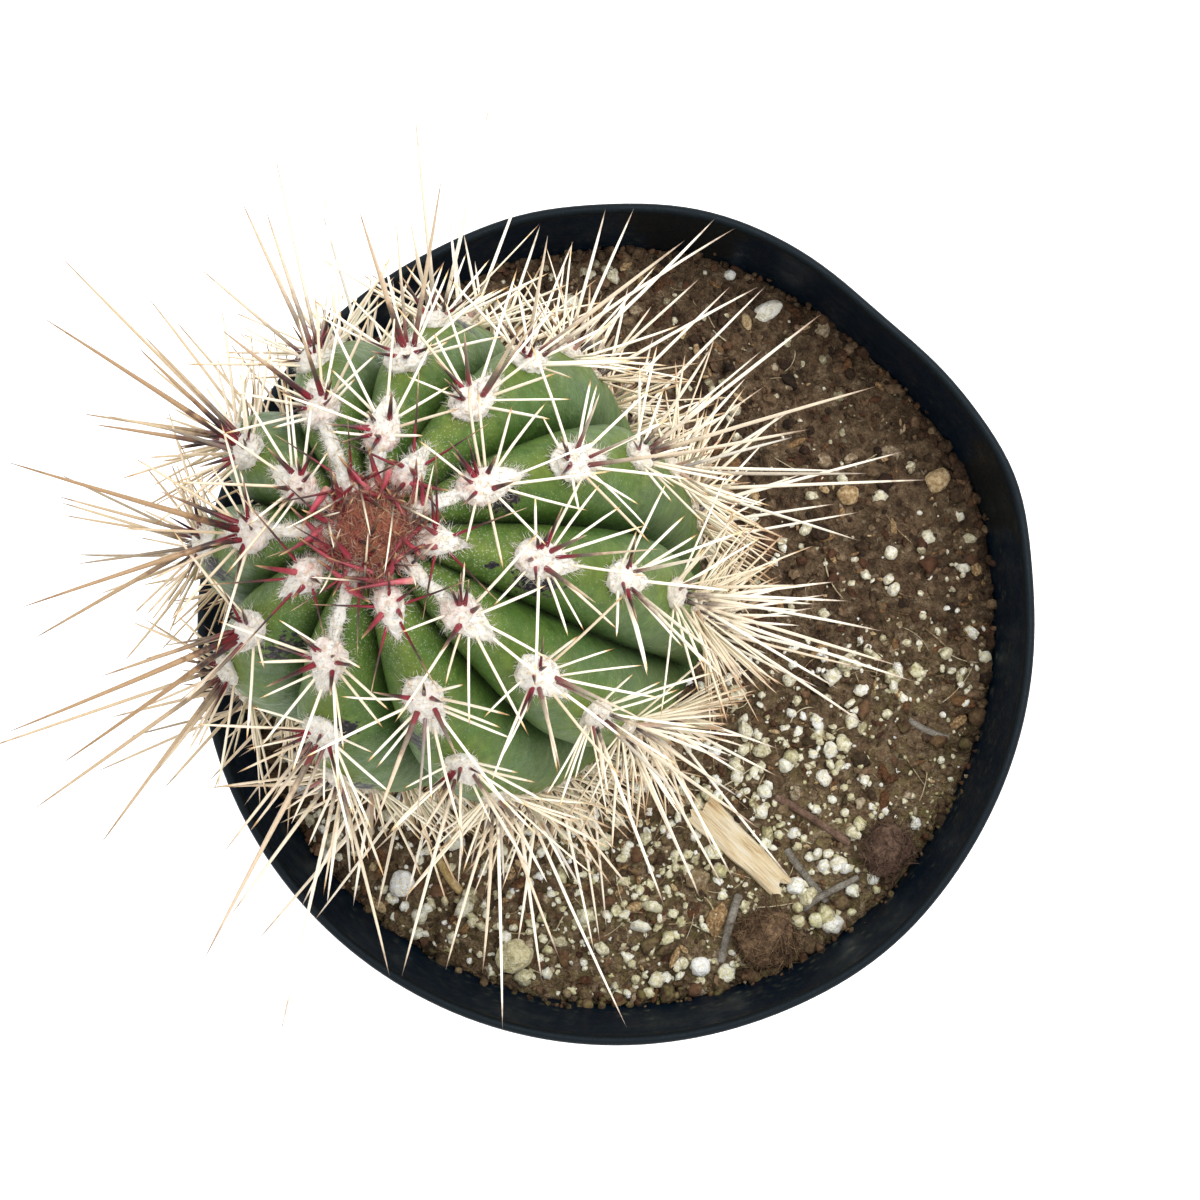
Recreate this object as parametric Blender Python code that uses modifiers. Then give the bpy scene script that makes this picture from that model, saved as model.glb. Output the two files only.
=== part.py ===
"""A young cardon cactus in a black nursery pot.

Metres, +Z up. The origin is the centre of the pot's flat base. The plant leans towards -X, as a heavy
single stem does in a soft pot. Everything rests in the pot, and nothing here moves.
"""

import math
import random

import bmesh
import bpy
from mathutils import Matrix, Vector, noise

OBJECT_NAME = "potted_cardon_cactus"
MM = 0.001
GAP = 0.3 * MM
MERGE = 0.01 * MM
TURN_STEPS = 60

# Pot
POT_HEIGHT = 165 * MM
RIM_RADIUS = 82.2 * MM
RIM_INNER_RADIUS = 80.2 * MM
BEAD_HEIGHT = 5.0 * MM
WALL = 1.8 * MM
FLOOR = 2.4 * MM
BASE_RADIUS = 62.5 * MM
BASE_CORNER = 3.0 * MM
FLOOR_CORNER = 3.6 * MM
LIP_POINTS = 5
CORNER_POINTS = 4
# Where the soft rim is pushed out of round: bearing in degrees, outward shift, half width in degrees.
RIM_BENDS = (
    (102, 0.8 * MM, 10),
    (79, 1.4 * MM, 14),
    (49, -1.7 * MM, 11),
    (20, 1.6 * MM, 10),
    (-50, 0.7 * MM, 14),
)
DRAIN_HOLES = 6
DRAIN_RADIUS = 5.0 * MM
DRAIN_HEIGHT = 11.0 * MM
DRAIN_BEARING = 30
DRAIN_SIDES = 12

# Soil
SOIL_DROP = 22 * MM
SOIL_TOP = POT_HEIGHT - SOIL_DROP
SOIL_RADIUS = 77.2 * MM
SOIL_RINGS = 11
MID_WALL = 0.6 * SOIL_TOP
LUMP_SIZE, LUMP_HEIGHT = 22 * MM, 1.4 * MM
CRUMB_SIZE, CRUMB_HEIGHT = 7 * MM, 0.9 * MM
CRUMB_LAYER = 0.1
EDGE_FALL = 1.2 * MM
EDGE_POWER = 12
POCKET_GAP = 0.4 * MM

# Stem, in its own leaning frame: heights are above the soil, along the stem
STEM_FOOT = Vector((-8.6 * MM, 2.6 * MM, SOIL_TOP))
STEM_LEAN = Vector((-0.158, 0.052, 1.0))
STEM_HEIGHT = 154.8 * MM
WIDEST_HEIGHT = 106 * MM
WIDEST_RADIUS = 38.6 * MM
FOOT_RADIUS = 27 * MM
SHOULDER = 1.6
CROWN_POWER = 2.09
CROWN_DIMPLE = 1.5 * MM
DIMPLE_SHARE = 0.3
CROWN_RINGS = 9
SIDE_RINGS = 9
STUB_DEPTH = 16 * MM
STUB_RADIUS = 21 * MM
HOLE_TOP = 6 * MM
HOLE_FLARE = 0.9 * MM
SEGMENTS_PER_RIB = 6
RIB_DEPTH = 10.5 * MM
RIBS_START = 2 * MM
RIBS_FULL = 45 * MM
# Inside this share of the widest radius the ribs grow shallow towards the crown's centre
FULL_DEPTH_SHARE = 0.75
# Bearings of the rib crests round the stem, in degrees
RIB_BEARINGS = (-9, -43, -76.5, -113, -148, -182, -211.5, -243, -273.4, -302.8, -337)

# Areoles
AREOLE_STEP = 19 * MM
AREOLE_STEP_AT_CROWN = 15.8 * MM
# How far each rib's first areole is from the crown's centre along its crest, in millimetres
FIRST_AREOLES = (9.6, 18.2, 11.3, 5, 12, 5.2, 14, 7.5, 15.5, 10, 17.7)
LOWEST_AREOLE = 13 * MM
PAD_SIZE = Vector((2.9 * MM, 4.6 * MM, 1.9 * MM))
PADS_ABOVE = 133 * MM
CREST_STRIDE = 0.002

# Spines: each pair is the least and the most of an even random draw
SPINE_SEED = 11
SPINE_BASE_RADIUS = 0.62 * MM
SPINE_ROOT = 2.6 * MM
SHORTEST_SPINE = 6 * MM
# Spines are still growing near the crown: the distances from it where they start and stop doing so
SPREADING_GROWS = (0 * MM, 20 * MM)
CENTRAL_GROWS = (16 * MM, 44 * MM)
YOUNGEST_SPREADING = 0.5
YOUNGEST_CENTRAL = 0.24
# Directions round an areole, in degrees from downwards, for its low spreading spines
SPREADING_SPINES = (28, 100, -28, -100)
SPREADING_RING = 1.7 * MM
SPREADING_TURN = (-14, 14)
SPREADING_LIFT = (20, 42)
SPREADING_LENGTH = (13 * MM, 20 * MM)
# The two central spines of an areole, one to each side of its middle
CENTRAL_LONGEST = {-1: 46 * MM, 1: 28 * MM}
CENTRAL_SHARE = (0.62, 1.0)
CENTRAL_ACROSS = (0.1, 0.45)
CENTRAL_ALONG = (-0.5, 0.35)
CENTRAL_RADIUS = 0.71 * MM
CENTRAL_RING = 0.8 * MM
TUFT_SPINES = 22
TUFT_RADIUS = 7.5 * MM
TUFT_TILT = (0.35, 0.75)
TUFT_LENGTH = (9 * MM, 15 * MM)
GOLDEN_ANGLE = 137.5
# Room that the spines leave over the soil and to the pot's wall
SOIL_CLEARANCE = 5.5 * MM
WALL_CLEARANCE = 2.5 * MM
CLEARANCE_TESTS = 20

# Loose pieces on the soil: where each lies, as X and Y
WOOD_CHIP_ENDS = ((17.2 * MM, -37.1 * MM), (33.5 * MM, -52.8 * MM))
WOOD_CHIP_WIDTH = 7.0 * MM
WOOD_CHIP_THICKNESS = 3.0 * MM
WOOD_CHIP_BEVEL = 0.6 * MM
# How much narrower and thinner the chip's far end is, and how far its split end is skewed
WOOD_CHIP_TAPER = (0.72, 0.7)
WOOD_CHIP_SKEW = 0.06
# How high loose pieces lie in the soil, as a share of their own height or half height
CHIP_LIFT = 0.3
STONE_LIFT = 0.35
STONE_ROUGHNESS = 0.22
TWIG_PIECES = 8
STONES = {
    # name: (x, y), half sizes along, across and up, and the bearing in degrees
    "pumice_large": ((-20.6 * MM, -67.1 * MM), (3.7 * MM, 3.3 * MM, 3.0 * MM), 20),
    "perlite_large": ((-43.6 * MM, -52.3 * MM), (2.8 * MM, 2.4 * MM, 2.3 * MM), 70),
    "perlite_oval": ((31.2 * MM, 65.0 * MM), (3.3 * MM, 1.9 * MM, 1.7 * MM), 25),
    "pebble_tan": ((47.6 * MM, 27.0 * MM), (2.3 * MM, 2.0 * MM, 1.8 * MM), 0),
    "pebble_edge": ((66.0 * MM, 30.2 * MM), (2.7 * MM, 2.3 * MM, 2.0 * MM), 40),
    "fibre_lump": ((30.9 * MM, -63.6 * MM), (5.8 * MM, 5.4 * MM, 3.8 * MM), 10),
    "bark_lump": ((55.2 * MM, -45.4 * MM), (5.3 * MM, 4.6 * MM, 3.6 * MM), 60),
}
# Twigs: the points that each follows as X and Y, its radius, and its height over the soil at each point
TWIGS = {
    "twig_red": (((32.6, -34.6), (39.6, -38.8), (47.6, -44.2)), 0.8, (0.5, 0.9, 0.8)),
    "twig_grey_low": (((34.8, -45.4), (38.4, -50.4), (42.9, -56.0)), 0.8, (0.4, 0.5, 0.4)),
    "twig_grey_top": (((38.4, -57.6), (42.0, -54.7), (49.4, -51.2)), 0.7, (0.4, 2.6, 0.6)),
    "stem_bent": (((25.2, -54.6), (23.2, -60.8), (21.4, -68.4)), 0.9, (0.6, 1.2, 0.5)),
    "twig_short": (((59.8, -18.9), (63.8, -21.3), (68.0, -22.6)), 0.7, (0.3, 0.6, 0.4)),
    "straw": (((-36.4, -47.2), (-34.6, -50.6), (-31.7, -54.2)), 0.9, (0.4, 0.7, 0.4)),
}

COLOURS = {
    # name: colour, roughness
    "pot": ((0.012, 0.014, 0.017), 0.45),
    "soil": ((0.075, 0.047, 0.028), 0.95),
    "cactus": ((0.115, 0.235, 0.085), 0.55),
    "wood_chip": ((0.56, 0.41, 0.23), 0.8),
    "pumice_large": ((0.62, 0.57, 0.44), 0.9),
    "perlite_large": ((0.80, 0.79, 0.74), 0.9),
    "perlite_oval": ((0.75, 0.74, 0.69), 0.9),
    "pebble_tan": ((0.42, 0.31, 0.20), 0.85),
    "pebble_edge": ((0.45, 0.36, 0.25), 0.85),
    "fibre_lump": ((0.16, 0.10, 0.055), 0.95),
    "bark_lump": ((0.13, 0.06, 0.04), 0.9),
    "twig_red": ((0.17, 0.08, 0.05), 0.8),
    "twig_grey_low": ((0.30, 0.27, 0.22), 0.85),
    "twig_grey_top": ((0.34, 0.30, 0.25), 0.85),
    "stem_bent": ((0.28, 0.25, 0.21), 0.85),
    "twig_short": ((0.30, 0.25, 0.20), 0.85),
    "straw": ((0.50, 0.38, 0.20), 0.8),
}


def clear_scene():
    for found in list(bpy.data.objects):
        bpy.data.objects.remove(found, do_unlink=True)


def new_collection(name):
    made = bpy.data.collections.new(name)
    bpy.context.scene.collection.children.link(made)
    return made


def material_of(name):
    colour, roughness = COLOURS[name]
    made = bpy.data.materials.new(name)
    made.use_nodes = True
    shader = made.node_tree.nodes["Principled BSDF"]
    shader.inputs["Base Color"].default_value = (*colour, 1.0)
    shader.inputs["Roughness"].default_value = roughness
    shader.inputs["Metallic"].default_value = 0.0
    return made


def add_object(name, mesh, collection):
    made = bpy.data.objects.new(name, mesh)
    collection.objects.link(made)
    return made


def add_part(name, mesh, smooth_within=40):
    """A finished sub-part with its own material, smooth but for edges sharper than the given degrees."""
    made = add_object(name, mesh, parts)
    mesh.materials.clear()
    mesh.materials.append(material_of(name))
    mesh.shade_smooth()
    mesh.set_sharp_from_angle(angle=math.radians(smooth_within))
    return made


def add_cutter(name, mesh):
    made = add_object(name, mesh, cutters)
    made.hide_render = True
    made.display_type = "WIRE"
    return made


def evaluated_mesh(source):
    bpy.context.view_layer.update()
    graph = bpy.context.evaluated_depsgraph_get()
    return bpy.data.meshes.new_from_object(source.evaluated_get(graph))


def apply_modifiers(target):
    made = evaluated_mesh(target)
    target.modifiers.clear()
    target.data = made


def mesh_from(build):
    """A mesh made by a function that fills a bmesh."""
    shape = bmesh.new()
    build(shape)
    made = bpy.data.meshes.new("shape")
    shape.to_mesh(made)
    shape.free()
    return made


def turned(outline, steps):
    """A closed body turned about Z. The outline starts and ends on the axis, and its outer side runs down."""
    mesh = bpy.data.meshes.new("outline")
    points = [(radius, 0.0, height) for radius, height in outline]
    mesh.from_pydata(points, [(i, i + 1) for i in range(len(points) - 1)], [])
    raw = add_object("outline", mesh, cutters)
    screw = raw.modifiers.new("turn", "SCREW")
    screw.steps = steps
    screw.render_steps = steps
    screw.use_merge_vertices = True
    screw.merge_threshold = MERGE
    made = evaluated_mesh(raw)
    bpy.data.objects.remove(raw)
    return made


def angle_between(first, second):
    """The signed difference of two bearings in degrees, from -180 to 180."""
    return (first - second + 180) % 360 - 180


def rim_shift(x, y, z):
    """How far the soft wall stands out of round at a point, more towards the rim."""
    bearing = math.degrees(math.atan2(y, x))
    shift = sum(
        push * math.exp(-((angle_between(bearing, centre) / width) ** 2))
        for centre, push, width in RIM_BENDS
    )
    return shift * (z / POT_HEIGHT) ** 2


def push_out_of_round(mesh):
    for vertex in mesh.vertices:
        x, y, z = vertex.co
        radius = math.hypot(x, y)
        if radius > MERGE:
            # The middle of a flat surface moves less than its edge
            scale = 1 + rim_shift(x, y, z) / RIM_RADIUS
            vertex.co = (x * scale, y * scale, z)


def wall_inner_radius(z):
    """The inside of the pot's wall: steeper below the soil's surface than in the flared lip above it."""
    if z > SOIL_TOP:
        share = (z - SOIL_TOP) / SOIL_DROP
        return SOIL_RADIUS + GAP + share * (RIM_INNER_RADIUS - SOIL_RADIUS - GAP)
    share = z / SOIL_TOP
    return BASE_RADIUS - WALL + share * (SOIL_RADIUS + GAP - BASE_RADIUS + WALL)


def arc(centre_radius, centre_height, radius, start, end, points):
    """Points of an outline on a circle, from one angle to another in degrees."""
    found = []
    for i in range(points):
        angle = math.radians(start + (end - start) * i / (points - 1))
        found.append((centre_radius + radius * math.cos(angle), centre_height + radius * math.sin(angle)))
    return found


def make_pot():
    lip = (RIM_RADIUS - RIM_INNER_RADIUS) / 2
    bead_foot = POT_HEIGHT - BEAD_HEIGHT
    outline = [
        (0.0, FLOOR),
        (wall_inner_radius(FLOOR) - FLOOR_CORNER, FLOOR),
        (wall_inner_radius(FLOOR + WALL), FLOOR + WALL),
        (wall_inner_radius(MID_WALL), MID_WALL),
        (wall_inner_radius(SOIL_TOP), SOIL_TOP),
        *arc(RIM_INNER_RADIUS + lip, POT_HEIGHT - lip, lip, 180, 0, LIP_POINTS),
        (RIM_RADIUS, bead_foot + lip),
        (wall_inner_radius(bead_foot) + WALL + lip / 2, bead_foot),
        (wall_inner_radius(bead_foot) + WALL, bead_foot - lip),
        (wall_inner_radius(SOIL_TOP) + WALL, SOIL_TOP),
        (wall_inner_radius(MID_WALL) + WALL, MID_WALL),
        *arc(BASE_RADIUS - BASE_CORNER, BASE_CORNER, BASE_CORNER, 0, -90, CORNER_POINTS),
        (0.0, 0.0),
    ]
    mesh = turned(outline, TURN_STEPS)
    push_out_of_round(mesh)
    pot = add_part("pot", mesh)
    for i in range(DRAIN_HOLES):
        bearing = math.radians(DRAIN_BEARING + 360 * i / DRAIN_HOLES)
        outward = Vector((math.cos(bearing), math.sin(bearing), 0.0))
        place = (
            Matrix.Translation(outward * BASE_RADIUS + Vector((0, 0, DRAIN_HEIGHT)))
            @ outward.to_track_quat("Z", "Y").to_matrix().to_4x4()
        )
        cutter = mesh_from(
            lambda shape, place=place: bmesh.ops.create_cone(
                shape,
                cap_ends=True,
                segments=DRAIN_SIDES,
                radius1=DRAIN_RADIUS,
                radius2=DRAIN_RADIUS,
                depth=4 * DRAIN_RADIUS,
                matrix=place,
            )
        )
        add_cutter(f"drain_hole_{i + 1}", cutter)
        cut = pot.modifiers.new(f"drain_hole_{i + 1}", "BOOLEAN")
        cut.object = cutters.objects[f"drain_hole_{i + 1}"]
    return pot


def soil_height(x, y):
    """The surface of the soil: low swells with crumbs on them, falling a little at the wall."""
    swell = noise.noise(Vector((x, y, 0.0)) / LUMP_SIZE) * LUMP_HEIGHT
    crumbs = noise.noise(Vector((x, y, CRUMB_LAYER)) / CRUMB_SIZE) * CRUMB_HEIGHT
    edge = (math.hypot(x, y) / SOIL_RADIUS) ** EDGE_POWER
    return SOIL_TOP + swell + crumbs - edge * EDGE_FALL


def make_soil():
    bottom = FLOOR + GAP
    outline = [(SOIL_RADIUS * i / SOIL_RINGS, SOIL_TOP) for i in range(SOIL_RINGS + 1)]
    outline += [
        (wall_inner_radius(MID_WALL) - GAP, MID_WALL),
        (wall_inner_radius(FLOOR + WALL) - GAP, FLOOR + WALL + GAP),
        (wall_inner_radius(FLOOR) - FLOOR_CORNER - GAP, bottom),
        (0.0, bottom),
    ]
    mesh = turned(outline, TURN_STEPS)
    for vertex in mesh.vertices:
        x, y, z = vertex.co
        if z < SOIL_TOP - MERGE:
            continue
        radius = math.hypot(x, y)
        height = soil_height(x, y)
        if radius > SOIL_RADIUS - MERGE:
            scale = (wall_inner_radius(min(height, SOIL_TOP)) - GAP) / radius
            x, y = x * scale, y * scale
        vertex.co = (x, y, height)
    push_out_of_round(mesh)
    return add_part("soil", mesh, 180)


def stem_frame():
    """From the stem's own frame, with its axis up and its foot on the soil, to the world."""
    up = STEM_LEAN.normalized()
    side = (Vector((1, 0, 0)) - up * up.x).normalized()
    turn = Matrix((side, up.cross(side), up)).transposed()
    return Matrix.Translation(STEM_FOOT) @ turn.to_4x4()


def crest_profile(step):
    """Radius and height of a rib's crest: 0 to 1 runs up the side, and 1 to 2 over the crown to its centre."""
    if step <= 1:
        rise = FOOT_RADIUS + (WIDEST_RADIUS - FOOT_RADIUS) * (1 - (1 - step) ** SHOULDER)
        return rise, WIDEST_HEIGHT * step
    angle = math.radians(90 * (step - 1))
    radius = WIDEST_RADIUS * max(math.cos(angle), 0.0) ** (2 / CROWN_POWER)
    height = WIDEST_HEIGHT + (STEM_HEIGHT - WIDEST_HEIGHT) * math.sin(angle) ** (2 / CROWN_POWER)
    near_centre = max(0.0, 1 - radius / (DIMPLE_SHARE * WIDEST_RADIUS))
    return radius, height - CROWN_DIMPLE * near_centre


def crest_normal(step):
    """The outward direction of the crest's profile, as radius and height."""
    low = crest_profile(max(step - 5 * CREST_STRIDE, 0.0))
    high = crest_profile(min(step + 5 * CREST_STRIDE, 2.0))
    run, rise = high[0] - low[0], high[1] - low[1]
    length = math.hypot(run, rise)
    return rise / length, -run / length


def rib_depth(radius, height):
    fade = min(max((height - RIBS_START) / (RIBS_FULL - RIBS_START), 0.0), 1.0)
    return RIB_DEPTH * math.sqrt(fade) * min(1.0, radius / (FULL_DEPTH_SHARE * WIDEST_RADIUS))


def rib_bearing(turns):
    """The bearing of a place counted in ribs: whole numbers are crests, and halves are grooves."""
    rib = math.floor(turns)
    here = RIB_BEARINGS[rib % len(RIB_BEARINGS)]
    there = RIB_BEARINGS[(rib + 1) % len(RIB_BEARINGS)]
    return math.radians(here + angle_between(there, here) * (turns - rib))


def make_stem():
    """The ribbed stem, turned from the crests' profile and then pressed in between the crests."""
    steps = [2 - i / CROWN_RINGS for i in range(CROWN_RINGS)]
    steps += [1 - i / SIDE_RINGS for i in range(SIDE_RINGS + 1)]
    outline = [crest_profile(step) for step in steps]
    outline[0] = (0.0, outline[0][1])
    outline += [(STUB_RADIUS, -STUB_DEPTH), (0.0, -STUB_DEPTH)]
    normals = [crest_normal(step) for step in steps] + [(0.0, 0.0)] * 2
    segments = SEGMENTS_PER_RIB * len(RIB_BEARINGS)
    mesh = turned(outline, segments)
    heights = [height for _, height in outline]
    for vertex in mesh.vertices:
        x, y, z = vertex.co
        radius = math.hypot(x, y)
        if radius < MERGE:
            continue
        row = min(range(len(outline)), key=lambda i: abs(heights[i] - z) + abs(outline[i][0] - radius))
        # The ribs run clockwise from above, as their bearings do
        turns = -math.atan2(y, x) / math.tau * len(RIB_BEARINGS)
        across = 2 * (turns - round(turns))
        depth = rib_depth(radius, z) * (1 - math.sqrt(max(0.0, 1 - across * across)))
        radius -= depth * normals[row][0]
        z -= depth * normals[row][1]
        bearing = rib_bearing(turns)
        vertex.co = (radius * math.cos(bearing), radius * math.sin(bearing), z)
    mesh.transform(stem_frame())
    return add_part("cactus", mesh, 60)


def grown(walked, between):
    """0 to 1 as the distance from the crown passes from one to the other of two distances."""
    start, end = between
    return min(max((walked - start) / (end - start), 0.0), 1.0)


def areole_places(first):
    """Places along a crest that are an areole's distance apart, each with its distance from the crown."""
    found, walked, target = [], 0.0, first
    step, last = 2.0, crest_profile(2.0)
    while step > 0.0:
        step -= CREST_STRIDE
        here = crest_profile(max(step, 0.0))
        walked += math.dist(here, last)
        last = here
        if here[1] < LOWEST_AREOLE:
            break
        if walked >= target:
            found.append((step, walked))
            target = walked + AREOLE_STEP_AT_CROWN
            target += grown(walked, CENTRAL_GROWS) * (AREOLE_STEP - AREOLE_STEP_AT_CROWN)
    return found


def areole_frame(rib, step):
    """From an areole's own frame to the world: Z is outwards, Y is up the crest and X is across it."""
    radius, height = crest_profile(step)
    out_radius, out_height = crest_normal(step)
    bearing = math.radians(RIB_BEARINGS[rib])
    flat = Vector((math.cos(bearing), math.sin(bearing), 0.0))
    up = Vector((0.0, 0.0, 1.0))
    outward = flat * out_radius + up * out_height
    along = up * out_radius - flat * out_height
    across = along.cross(outward)
    turn = Matrix((across, along, outward)).transposed()
    return stem_frame() @ Matrix.Translation(flat * radius + up * height) @ turn.to_4x4()


def clear_length(start, direction, length):
    """The part of a spine's length that stays over the soil and off the pot's wall."""
    for i in range(1, CLEARANCE_TESTS + 1):
        reach = length * i / CLEARANCE_TESTS
        point = start + direction * reach
        radius = math.hypot(point.x, point.y)
        in_pot = point.z < POT_HEIGHT + WALL_CLEARANCE
        over_rim = radius > wall_inner_radius(min(point.z, POT_HEIGHT)) - 2 * WALL_CLEARANCE
        if point.z < SOIL_TOP + SOIL_CLEARANCE or (in_pot and over_rim):
            return length * (i - 1) / CLEARANCE_TESTS
    return length


def add_spine(start, direction, length, radius):
    """One three-sided spine, rooted below the surface at its start. A spine with no room is left out."""
    length = clear_length(start, direction, length)
    if length < SHORTEST_SPINE:
        return
    whole = length + SPINE_ROOT
    middle = start + direction * (length - SPINE_ROOT) / 2
    place = Matrix.Translation(middle) @ direction.to_track_quat("Z", "Y").to_matrix().to_4x4()
    mesh = mesh_from(
        lambda shape: (
            bmesh.ops.create_cone(
                shape, cap_ends=True, segments=3, radius1=radius, radius2=0.0, depth=whole, matrix=place
            ),
            bmesh.ops.remove_doubles(shape, verts=shape.verts, dist=MERGE),
        )
    )
    add_object("spine", mesh, repeats)


def add_areole(rib, step, walked, draw):
    """The spines of one areole, and its woolly pad where it is near the crown."""
    spreading = YOUNGEST_SPREADING + (1 - YOUNGEST_SPREADING) * grown(walked, SPREADING_GROWS)
    central = YOUNGEST_CENTRAL + (1 - YOUNGEST_CENTRAL) * grown(walked, CENTRAL_GROWS)
    frame = areole_frame(rib, step)
    turn = frame.to_3x3()
    if crest_profile(step)[1] > PADS_ABOVE:
        pad = mesh_from(lambda shape: bmesh.ops.create_icosphere(shape, subdivisions=1, radius=1.0))
        pad.transform(frame @ Matrix.Diagonal((*PAD_SIZE, 1.0)))
        add_object("pad", pad, repeats)
    for bearing in SPREADING_SPINES:
        angle = math.radians(bearing + draw.uniform(*SPREADING_TURN))
        lift = math.radians(draw.uniform(*SPREADING_LIFT))
        flat = Vector((math.sin(angle), -math.cos(angle), 0.0))
        direction = turn @ (flat * math.cos(lift) + Vector((0, 0, math.sin(lift))))
        start = frame @ (flat * SPREADING_RING)
        add_spine(start, direction, spreading * draw.uniform(*SPREADING_LENGTH), SPINE_BASE_RADIUS)
    for side, longest in CENTRAL_LONGEST.items():
        across = side * draw.uniform(*CENTRAL_ACROSS)
        along = draw.uniform(*CENTRAL_ALONG)
        direction = (turn @ Vector((across, along, 1.0))).normalized()
        start = frame @ Vector((side * CENTRAL_RING, 0.0, 0.0))
        length = central * draw.uniform(*CENTRAL_SHARE) * longest
        add_spine(start, direction, length, CENTRAL_RADIUS)


def add_tuft(draw):
    """The young spines that stand together in the crown's centre."""
    frame = stem_frame()
    top = Vector((0.0, 0.0, crest_profile(2.0)[1]))
    for i in range(TUFT_SPINES):
        bearing = math.radians(i * GOLDEN_ANGLE)
        away = math.sqrt((i + 0.5) / TUFT_SPINES)
        flat = Vector((math.cos(bearing), math.sin(bearing), 0.0)) * away
        direction = frame.to_3x3() @ (flat * draw.uniform(*TUFT_TILT) + Vector((0, 0, 1)))
        start = frame @ (flat * TUFT_RADIUS + top)
        add_spine(start, direction.normalized(), draw.uniform(*TUFT_LENGTH), SPINE_BASE_RADIUS)


def keep_largest_shell(mesh):
    """Fills any hollow that the joined pieces seal, and drops loose scraps: only the outer skin stays."""
    shape = bmesh.new()
    shape.from_mesh(mesh)
    waiting = set(shape.verts)
    shells = []
    while waiting:
        front = [waiting.pop()]
        shell = set(front)
        while front:
            vertex = front.pop()
            for edge in vertex.link_edges:
                other = edge.other_vert(vertex)
                if other in waiting:
                    waiting.remove(other)
                    shell.add(other)
                    front.append(other)
        shells.append(shell)
    largest = max(shells, key=len)
    extra = [vertex for vertex in shape.verts if vertex not in largest]
    bmesh.ops.delete(shape, geom=extra, context="VERTS")
    shape.to_mesh(mesh)
    shape.free()


def make_cactus():
    cactus = make_stem()
    draw = random.Random(SPINE_SEED)
    for rib in range(len(RIB_BEARINGS)):
        for step, walked in areole_places(FIRST_AREOLES[rib] * MM):
            add_areole(rib, step, walked, draw)
    add_tuft(draw)
    join = cactus.modifiers.new("spines", "BOOLEAN")
    join.operation = "UNION"
    join.operand_type = "COLLECTION"
    join.collection = repeats
    join.solver = "MANIFOLD"
    apply_modifiers(cactus)
    keep_largest_shell(cactus.data)
    for found in list(repeats.objects):
        bpy.data.objects.remove(found)
    bpy.data.collections.remove(repeats)
    cactus.data.materials.clear()
    cactus.data.materials.append(bpy.data.materials["cactus"])
    return cactus


def stem_hole():
    """The plain hole that the stem's buried stub stands in."""
    def radius_at(height):
        share = -height / STUB_DEPTH
        return FOOT_RADIUS + share * (STUB_RADIUS - FOOT_RADIUS) + POCKET_GAP

    bottom = -STUB_DEPTH - GAP
    outline = [
        (0.0, HOLE_TOP),
        (radius_at(0.0) + HOLE_FLARE, HOLE_TOP),
        (radius_at(0.0), 0.0),
        (radius_at(bottom), bottom),
        (0.0, bottom),
    ]
    mesh = turned(outline, SEGMENTS_PER_RIB * len(RIB_BEARINGS))
    mesh.transform(stem_frame())
    return add_cutter("stem_hole", mesh)


def add_pocket(name, mesh):
    """A cutter that is the piece itself, grown by the gap, so that the soil takes its shape."""
    made = mesh.copy()
    shape = bmesh.new()
    shape.from_mesh(made)
    shape.normal_update()
    grown = [vertex.co + vertex.normal * POCKET_GAP for vertex in shape.verts]
    for vertex, place in zip(shape.verts, grown):
        vertex.co = place
    shape.to_mesh(made)
    shape.free()
    return add_cutter(f"{name}_pocket", made)


def make_stone(name):
    (x, y), size, bearing = STONES[name]
    mesh = mesh_from(lambda shape: bmesh.ops.create_icosphere(shape, subdivisions=2, radius=1.0))
    offset = Vector((x, y, 0.0)) / MM
    for vertex in mesh.vertices:
        vertex.co *= 1 + STONE_ROUGHNESS * noise.noise(vertex.co + offset)
    height = soil_height(x, y) + STONE_LIFT * size[2]
    place = (
        Matrix.Translation((x, y, height))
        @ Matrix.Rotation(math.radians(bearing), 4, "Z")
        @ Matrix.Diagonal((*size, 1.0))
    )
    mesh.transform(place)
    add_part(name, mesh, 50)
    add_pocket(name, mesh)


def make_twig(name):
    """A thin round twig on a smooth curve through three points, with capped ends."""
    ends, radius, heights = TWIGS[name]
    points = []
    for (x, y), height in zip(ends, heights):
        x, y = x * MM, y * MM
        points.append(Vector((x, y, soil_height(x, y) + height * MM)))
    curve = bpy.data.curves.new(name, "CURVE")
    curve.dimensions = "3D"
    curve.bevel_depth = radius * MM
    curve.bevel_resolution = 1
    curve.use_fill_caps = True
    spline = curve.splines.new("POLY")
    spline.points.add(TWIG_PIECES)
    for i in range(TWIG_PIECES + 1):
        share = i / TWIG_PIECES
        first = points[0] * (1 - share) * (1 - 2 * share)
        middle = points[1] * 4 * share * (1 - share)
        last = points[2] * share * (2 * share - 1)
        spline.points[i].co = (*(first + middle + last), 1.0)
    raw = add_object("route", curve, cutters)
    mesh = evaluated_mesh(raw)
    bpy.data.objects.remove(raw)
    shape = bmesh.new()
    shape.from_mesh(mesh)
    bmesh.ops.remove_doubles(shape, verts=shape.verts, dist=MERGE)
    shape.to_mesh(mesh)
    shape.free()
    add_part(name, mesh, 60)
    add_pocket(name, mesh)


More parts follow.
